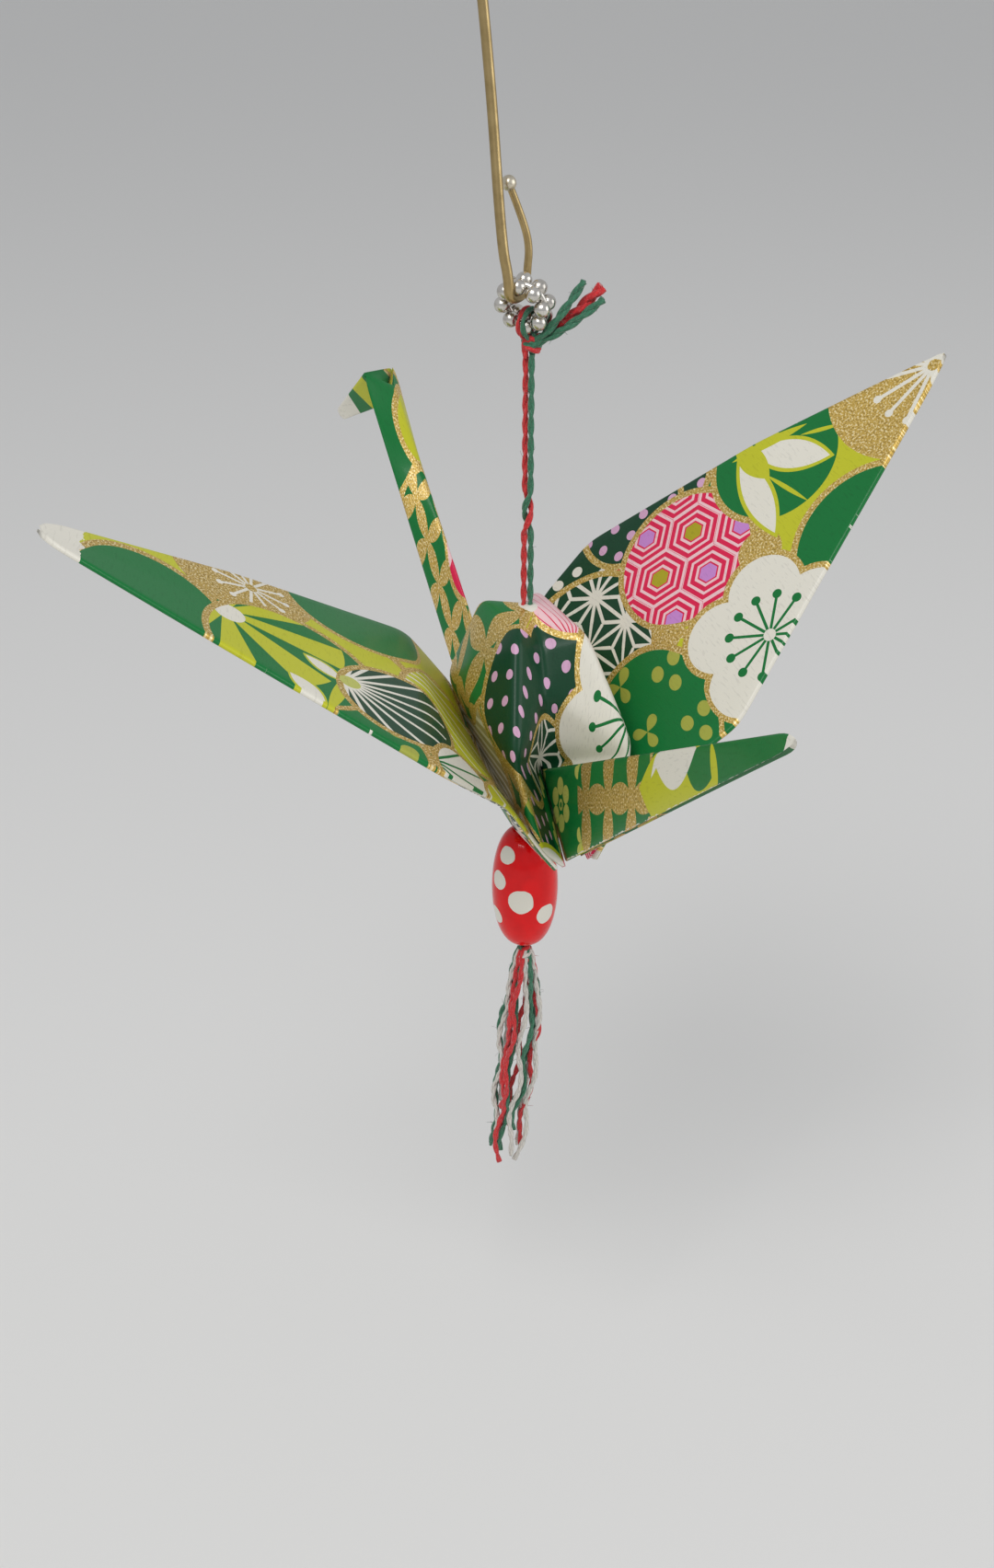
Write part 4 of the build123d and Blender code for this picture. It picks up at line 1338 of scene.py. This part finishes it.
# %% Print of tail, neck and beak
red_patch = laid(ROSE, BLUSH, u < -38.6)
colour = lay_on(
    colour,
    (disc_on, dot_flowers((26.3, -3.6), 32.0, CELERY, 6.5, 6, 1.5, 0.74, 0.36), (24.0, -3.0), 8.4, 0.0),
    (disc_on, rings, (38.5, -3.0), 8.0, 0.0),
    (lens_on, SNOW, (18.4, -13.4), 50.6, 6.6, 0.9, 0.5),
    (disc_on, ROSE, (21.5, -8.6), 0.7, 0.0),
    (disc_on, LEAF, (63.0, -1.0), 9.0, 0.0),
    (lens_on, LIME, (51.4, -2.6), 0.0, 7.2, 3.4),
    (lens_on, LEAF, (55.7, -1.5), 0.0, 2.7, 1.45),
    (lens_on, SNOW, (51.0, -0.8), 8.0, 3.6, 2.0),
    (lens_on, SNOW, (47.6, -0.7), 50.0, 1.7, 0.35),
    (lens_on, LIME, (58.0, -1.65), -58.0, 2.0, 0.5),
    (disc_on, linked_rings((-46.4, -2.3), -12.0, 3.6, 0.72), (-40.6, -2.0), 7.6),
    (disc_on, red_patch, (-37.4, 2.3), 3.9),
    (disc_on, LEAF, (-54.5, -3.6), 6.4),
    (disc_on, LIME, (-51.6, 1.2), 2.6, OUTLINE, 1.6),
)
beak = laid(laid(LEAF, LIME, (u - v * 0.3) > -61.9), SNOW, (u + v * 0.4) < -65.0)
colour = laid(colour, beak, u < -58.7)
print("print:", len(Ink.tree.nodes), "nodes")

# %% [markdown]
# Worn tips and the needle's hole show the white of the paper. The gold key colour then becomes
# foil: metal with painted glints as bright specks and painted shade as dark specks. A thin varnish
# lies over everything, so all of it shines a little.

# %% Wear, foil and varnish
PAINTED_GLINT = (1.0, 0.86, 0.52)
PAINTED_FOIL_SHADE = (0.24, 0.150, 0.040)
BLACK = (0.0, 0.0, 0.0)
NEEDLE_R = 0.95
mottle = speckle(sheet, 1.6, 4.0)
tips = (calc("ABSOLUTE", u) + calc("ABSOLUTE", v) + mottle) > 70.8
left_tip = (v - mottle * 1.4) < -67.6
tail_tip = (u + mottle * 0.8) > 69.2
needle = shift("LENGTH", sheet) < NEEDLE_R
worn_edge = (read("tint") * mottle) > 0.66
bare = 0.0
for place in (tips, left_tip, tail_tip, needle, worn_edge):
    bare = calc("MAXIMUM", bare, place)
foil = (shift("DISTANCE", colour, GOLD) < 0.02) * (1.0 - bare)
grain_glint_and_shade = speckle(sheet, 5.5, 3.0)
fibres = speckle(shift("MULTIPLY", sheet, (0.5, 2.5, 1.0)), 2.2, 5.0)
colour = laid(colour, SNOW, bare)
# Painted glints: bright specks on the foil. Painted shade: dark specks on the foil.
colour = laid(colour, PAINTED_GLINT, foil * (grain_glint_and_shade > 0.57) * 0.85)
colour = laid(colour, PAINTED_FOIL_SHADE, foil * (grain_glint_and_shade < 0.42) * 0.60)
colour = laid(colour, BLACK, (fibres > 0.6) * 0.10)
dress(crane_shader, {
    "Base Color": colour, "Metallic": foil * 0.75, "Roughness": 0.42 + foil * 0.05 + fibres * 0.08,
    "Specular IOR Level": 0.2, "Coat Weight": 0.2, "Coat Roughness": 0.16})
bumped(crane_shader, fibres * 0.4 + grain_glint_and_shade, 0.05, 0.25 + foil * 0.7)
print("paper:", len(Ink.tree.nodes), "nodes")

# %% [markdown]
# Cotton: the tint picks red, green or white, and the flat map runs along each ply and round it,
# so slanted ridges of fibre can be drawn as a wave on it, with painted shade in the grooves between
# the ridges. Cotton is matt with a little sheen.

# %% Cotton
DYED_RED = (0.640, 0.024, 0.028)
DYED_GREEN = (0.036, 0.180, 0.098)
UNDYED = (0.660, 0.630, 0.570)
FUZZ = (0.75, 0.70, 0.66)
PAINTED_GROOVE_SHADE = (0.02, 0.01, 0.01)


def cotton(name, piece):
    """Dyed cotton, in the colour of each ply's tint."""
    shader = finish_of(name, piece)
    tint = read("tint")
    flat = read("flat")
    length, round_ply = parts(flat)
    fibre = calc("SINE", length * 9.0 + round_ply * (2 * pi * 3)) * 0.5 + 0.5
    fuzz = speckle(shift("MULTIPLY", flat, (3.0, 6.0, 1.0)), 3.0, 4.0)
    dye_and_groove_shade = laid(laid(DYED_RED, DYED_GREEN, tint > 0.5), UNDYED, tint > 1.5)
    dye_and_groove_shade = laid(dye_and_groove_shade, FUZZ, (fuzz > 0.60) * 0.16)
    # Painted shade: the grooves between the fibre ridges are darkened.
    dye_and_groove_shade = laid(dye_and_groove_shade, PAINTED_GROOVE_SHADE, (1.0 - fibre) * 0.22)
    dress(shader, {"Base Color": dye_and_groove_shade, "Roughness": 0.75 + fuzz * 0.2,
                   "Sheen Weight": 0.35, "Sheen Roughness": 0.4})
    bumped(shader, fibre * 0.7 + fuzz * 0.5, 0.05)
    print(name, len(Ink.tree.nodes), "nodes")


cotton("twisted_cotton", hanging_thread)
cotton("knot_cotton", thread_knot)
cotton("loose_cotton", tassel)

# %% [markdown]
# Metals: the ring is silver gone grey in its hollows, the wire is brass-coloured gilding,
# duller and darker where it has been handled. Both are plain metal with a mottled roughness.

# %% Silver and gilt wire
SILVER, TARNISH = (0.80, 0.77, 0.72), (0.36, 0.33, 0.29)
GILDING, HANDLED = (0.56, 0.42, 0.20), (0.22, 0.15, 0.06)
# Painted highlight: the wire's ball ends are the same gilt as the wire, drawn paler.
BALL_PAINTED_HIGHLIGHT = (0.86, 0.80, 0.66)


def metal(name, piece, bright, dull, roughness, painted_ball_highlight=None):
    """Polished metal with dull patches, and for the wire paler ball ends, which are a painted highlight."""
    shader = finish_of(name, piece)
    place = read("place")
    patches = speckle(place, 0.9, 5.0)
    scratches = speckle(shift("MULTIPLY", place, (6.0, 6.0, 1.2)), 1.5, 3.0)
    plate_and_ball_highlight = laid(bright, painted_ball_highlight, read("tint") > 0.5) if painted_ball_highlight else bright
    dress(shader, {"Base Color": laid(plate_and_ball_highlight, dull, calc("POWER", patches, 1.5)), "Metallic": 1.0,
                   "Roughness": roughness + patches * 0.18})
    bumped(shader, patches * 0.5 + scratches * 0.2, 0.02)
    print(name, len(Ink.tree.nodes), "nodes")


metal("silver_ring", bead_ring, SILVER, TARNISH, 0.16)
metal("gilt_wire", hook_wire, GILDING, HANDLED, 0.26, BALL_PAINTED_HIGHLIGHT)

# %% [markdown]
# The bead is red glaze with white spots of uneven size. A spot is whatever lies near a point
# on the bead, so a list of turns, heights and sizes is enough, and no map of the bead is needed.

# %% Red glaze and white spots
BRIGHT_RED, DARK_RED = (0.90, 0.003, 0.005), (0.62, 0.002, 0.004)
SPOTS = (
    (117, 3.8, 0.80), (106, 1.4, 0.85), (152, -0.2, 1.15), (200, -1.7, 0.95), (94, -2.3, 0.85),
    (262, 2.2, 0.90), (255, -3.4, 0.80), (285, -0.6, 1.05), (300, 3.2, 0.85), (330, 1.0, 1.00),
    (320, -2.9, 0.90), (0, 3.3, 0.90), (10, -0.8, 1.10), (40, 1.6, 1.00), (48, -2.6, 0.95),
)
bead_shader = finish_of("red_glaze", dotted_bead)
place = read("place")
wobble = speckle(place, 0.8, 2.0)
spots = 0.0
for turn, height, size in SPOTS:
    share = min(1.0, abs(height) / (BEAD_HIGH - BEAD_MID))
    out = BEAD_R * (1.0 - share ** 2.2) ** 0.5
    spot = (out * cos(radians(turn)), out * sin(radians(turn)), BEAD_MID + height)
    spots = calc("MAXIMUM", spots, (shift("DISTANCE", place, spot) + wobble * 0.3) < size + 0.15)
dress(bead_shader, {
    "Base Color": laid(laid(BRIGHT_RED, DARK_RED, wobble), SNOW, spots), "Roughness": 0.12 + wobble * 0.08,
    "Specular IOR Level": 0.15, "Coat Weight": 0.3, "Coat Roughness": 0.05})
bumped(bead_shader, wobble * 0.5 + spots * 0.4, 0.04)
print("bead:", len(SPOTS), "spots")

# %% [markdown]
# The floor is one wide pale plane well below the tassel, and the light is a soft studio light:
# a broad lamp above the camera's left, a second one low on the right, and an even pale world.

# %% Floor and light
FLOOR_HALF = 8
FLOOR_DROP = 0.03
LAMP_AIM = Vector((0, 0, -0.06))
floor_low = solid_box[0].z - FLOOR_DROP
floor_corners = [(x * FLOOR_HALF, y * FLOOR_HALF, floor_low) for x, y in ((-1, -1), (1, -1), (1, 1), (-1, 1))]
floor_mesh = bpy.data.meshes.new("floor")
floor_mesh.from_pydata(floor_corners, [], [(0, 1, 2, 3)])
floor = bpy.data.objects.new("floor", floor_mesh)
scene.collection.objects.link(floor)
dress(finish_of("pale_floor", floor), {"Base Color": (0.78, 0.77, 0.75), "Roughness": 0.9})

world = bpy.data.worlds.new("pale_room")
world.use_nodes = True
dress(world.node_tree.nodes["Background"], {"Color": (0.9, 0.92, 0.95), "Strength": 0.55})
scene.world = world


def lamp(name, place, power, size):
    """A square soft lamp that faces the crane."""
    light = bpy.data.lights.new(name, "AREA")
    light.energy = power
    light.size = size
    holder = bpy.data.objects.new(name, light)
    holder.location = place
    holder.rotation_euler = (LAMP_AIM - Vector(place)).to_track_quat("-Z", "Y").to_euler()
    scene.collection.objects.link(holder)
    print(name, power, "watts")


lamp("key_lamp", (-0.35, 0.3, 0.45), 2.2, 0.35)
lamp("fill_lamp", (-0.3, -0.5, 0.1), 0.8, 0.4)
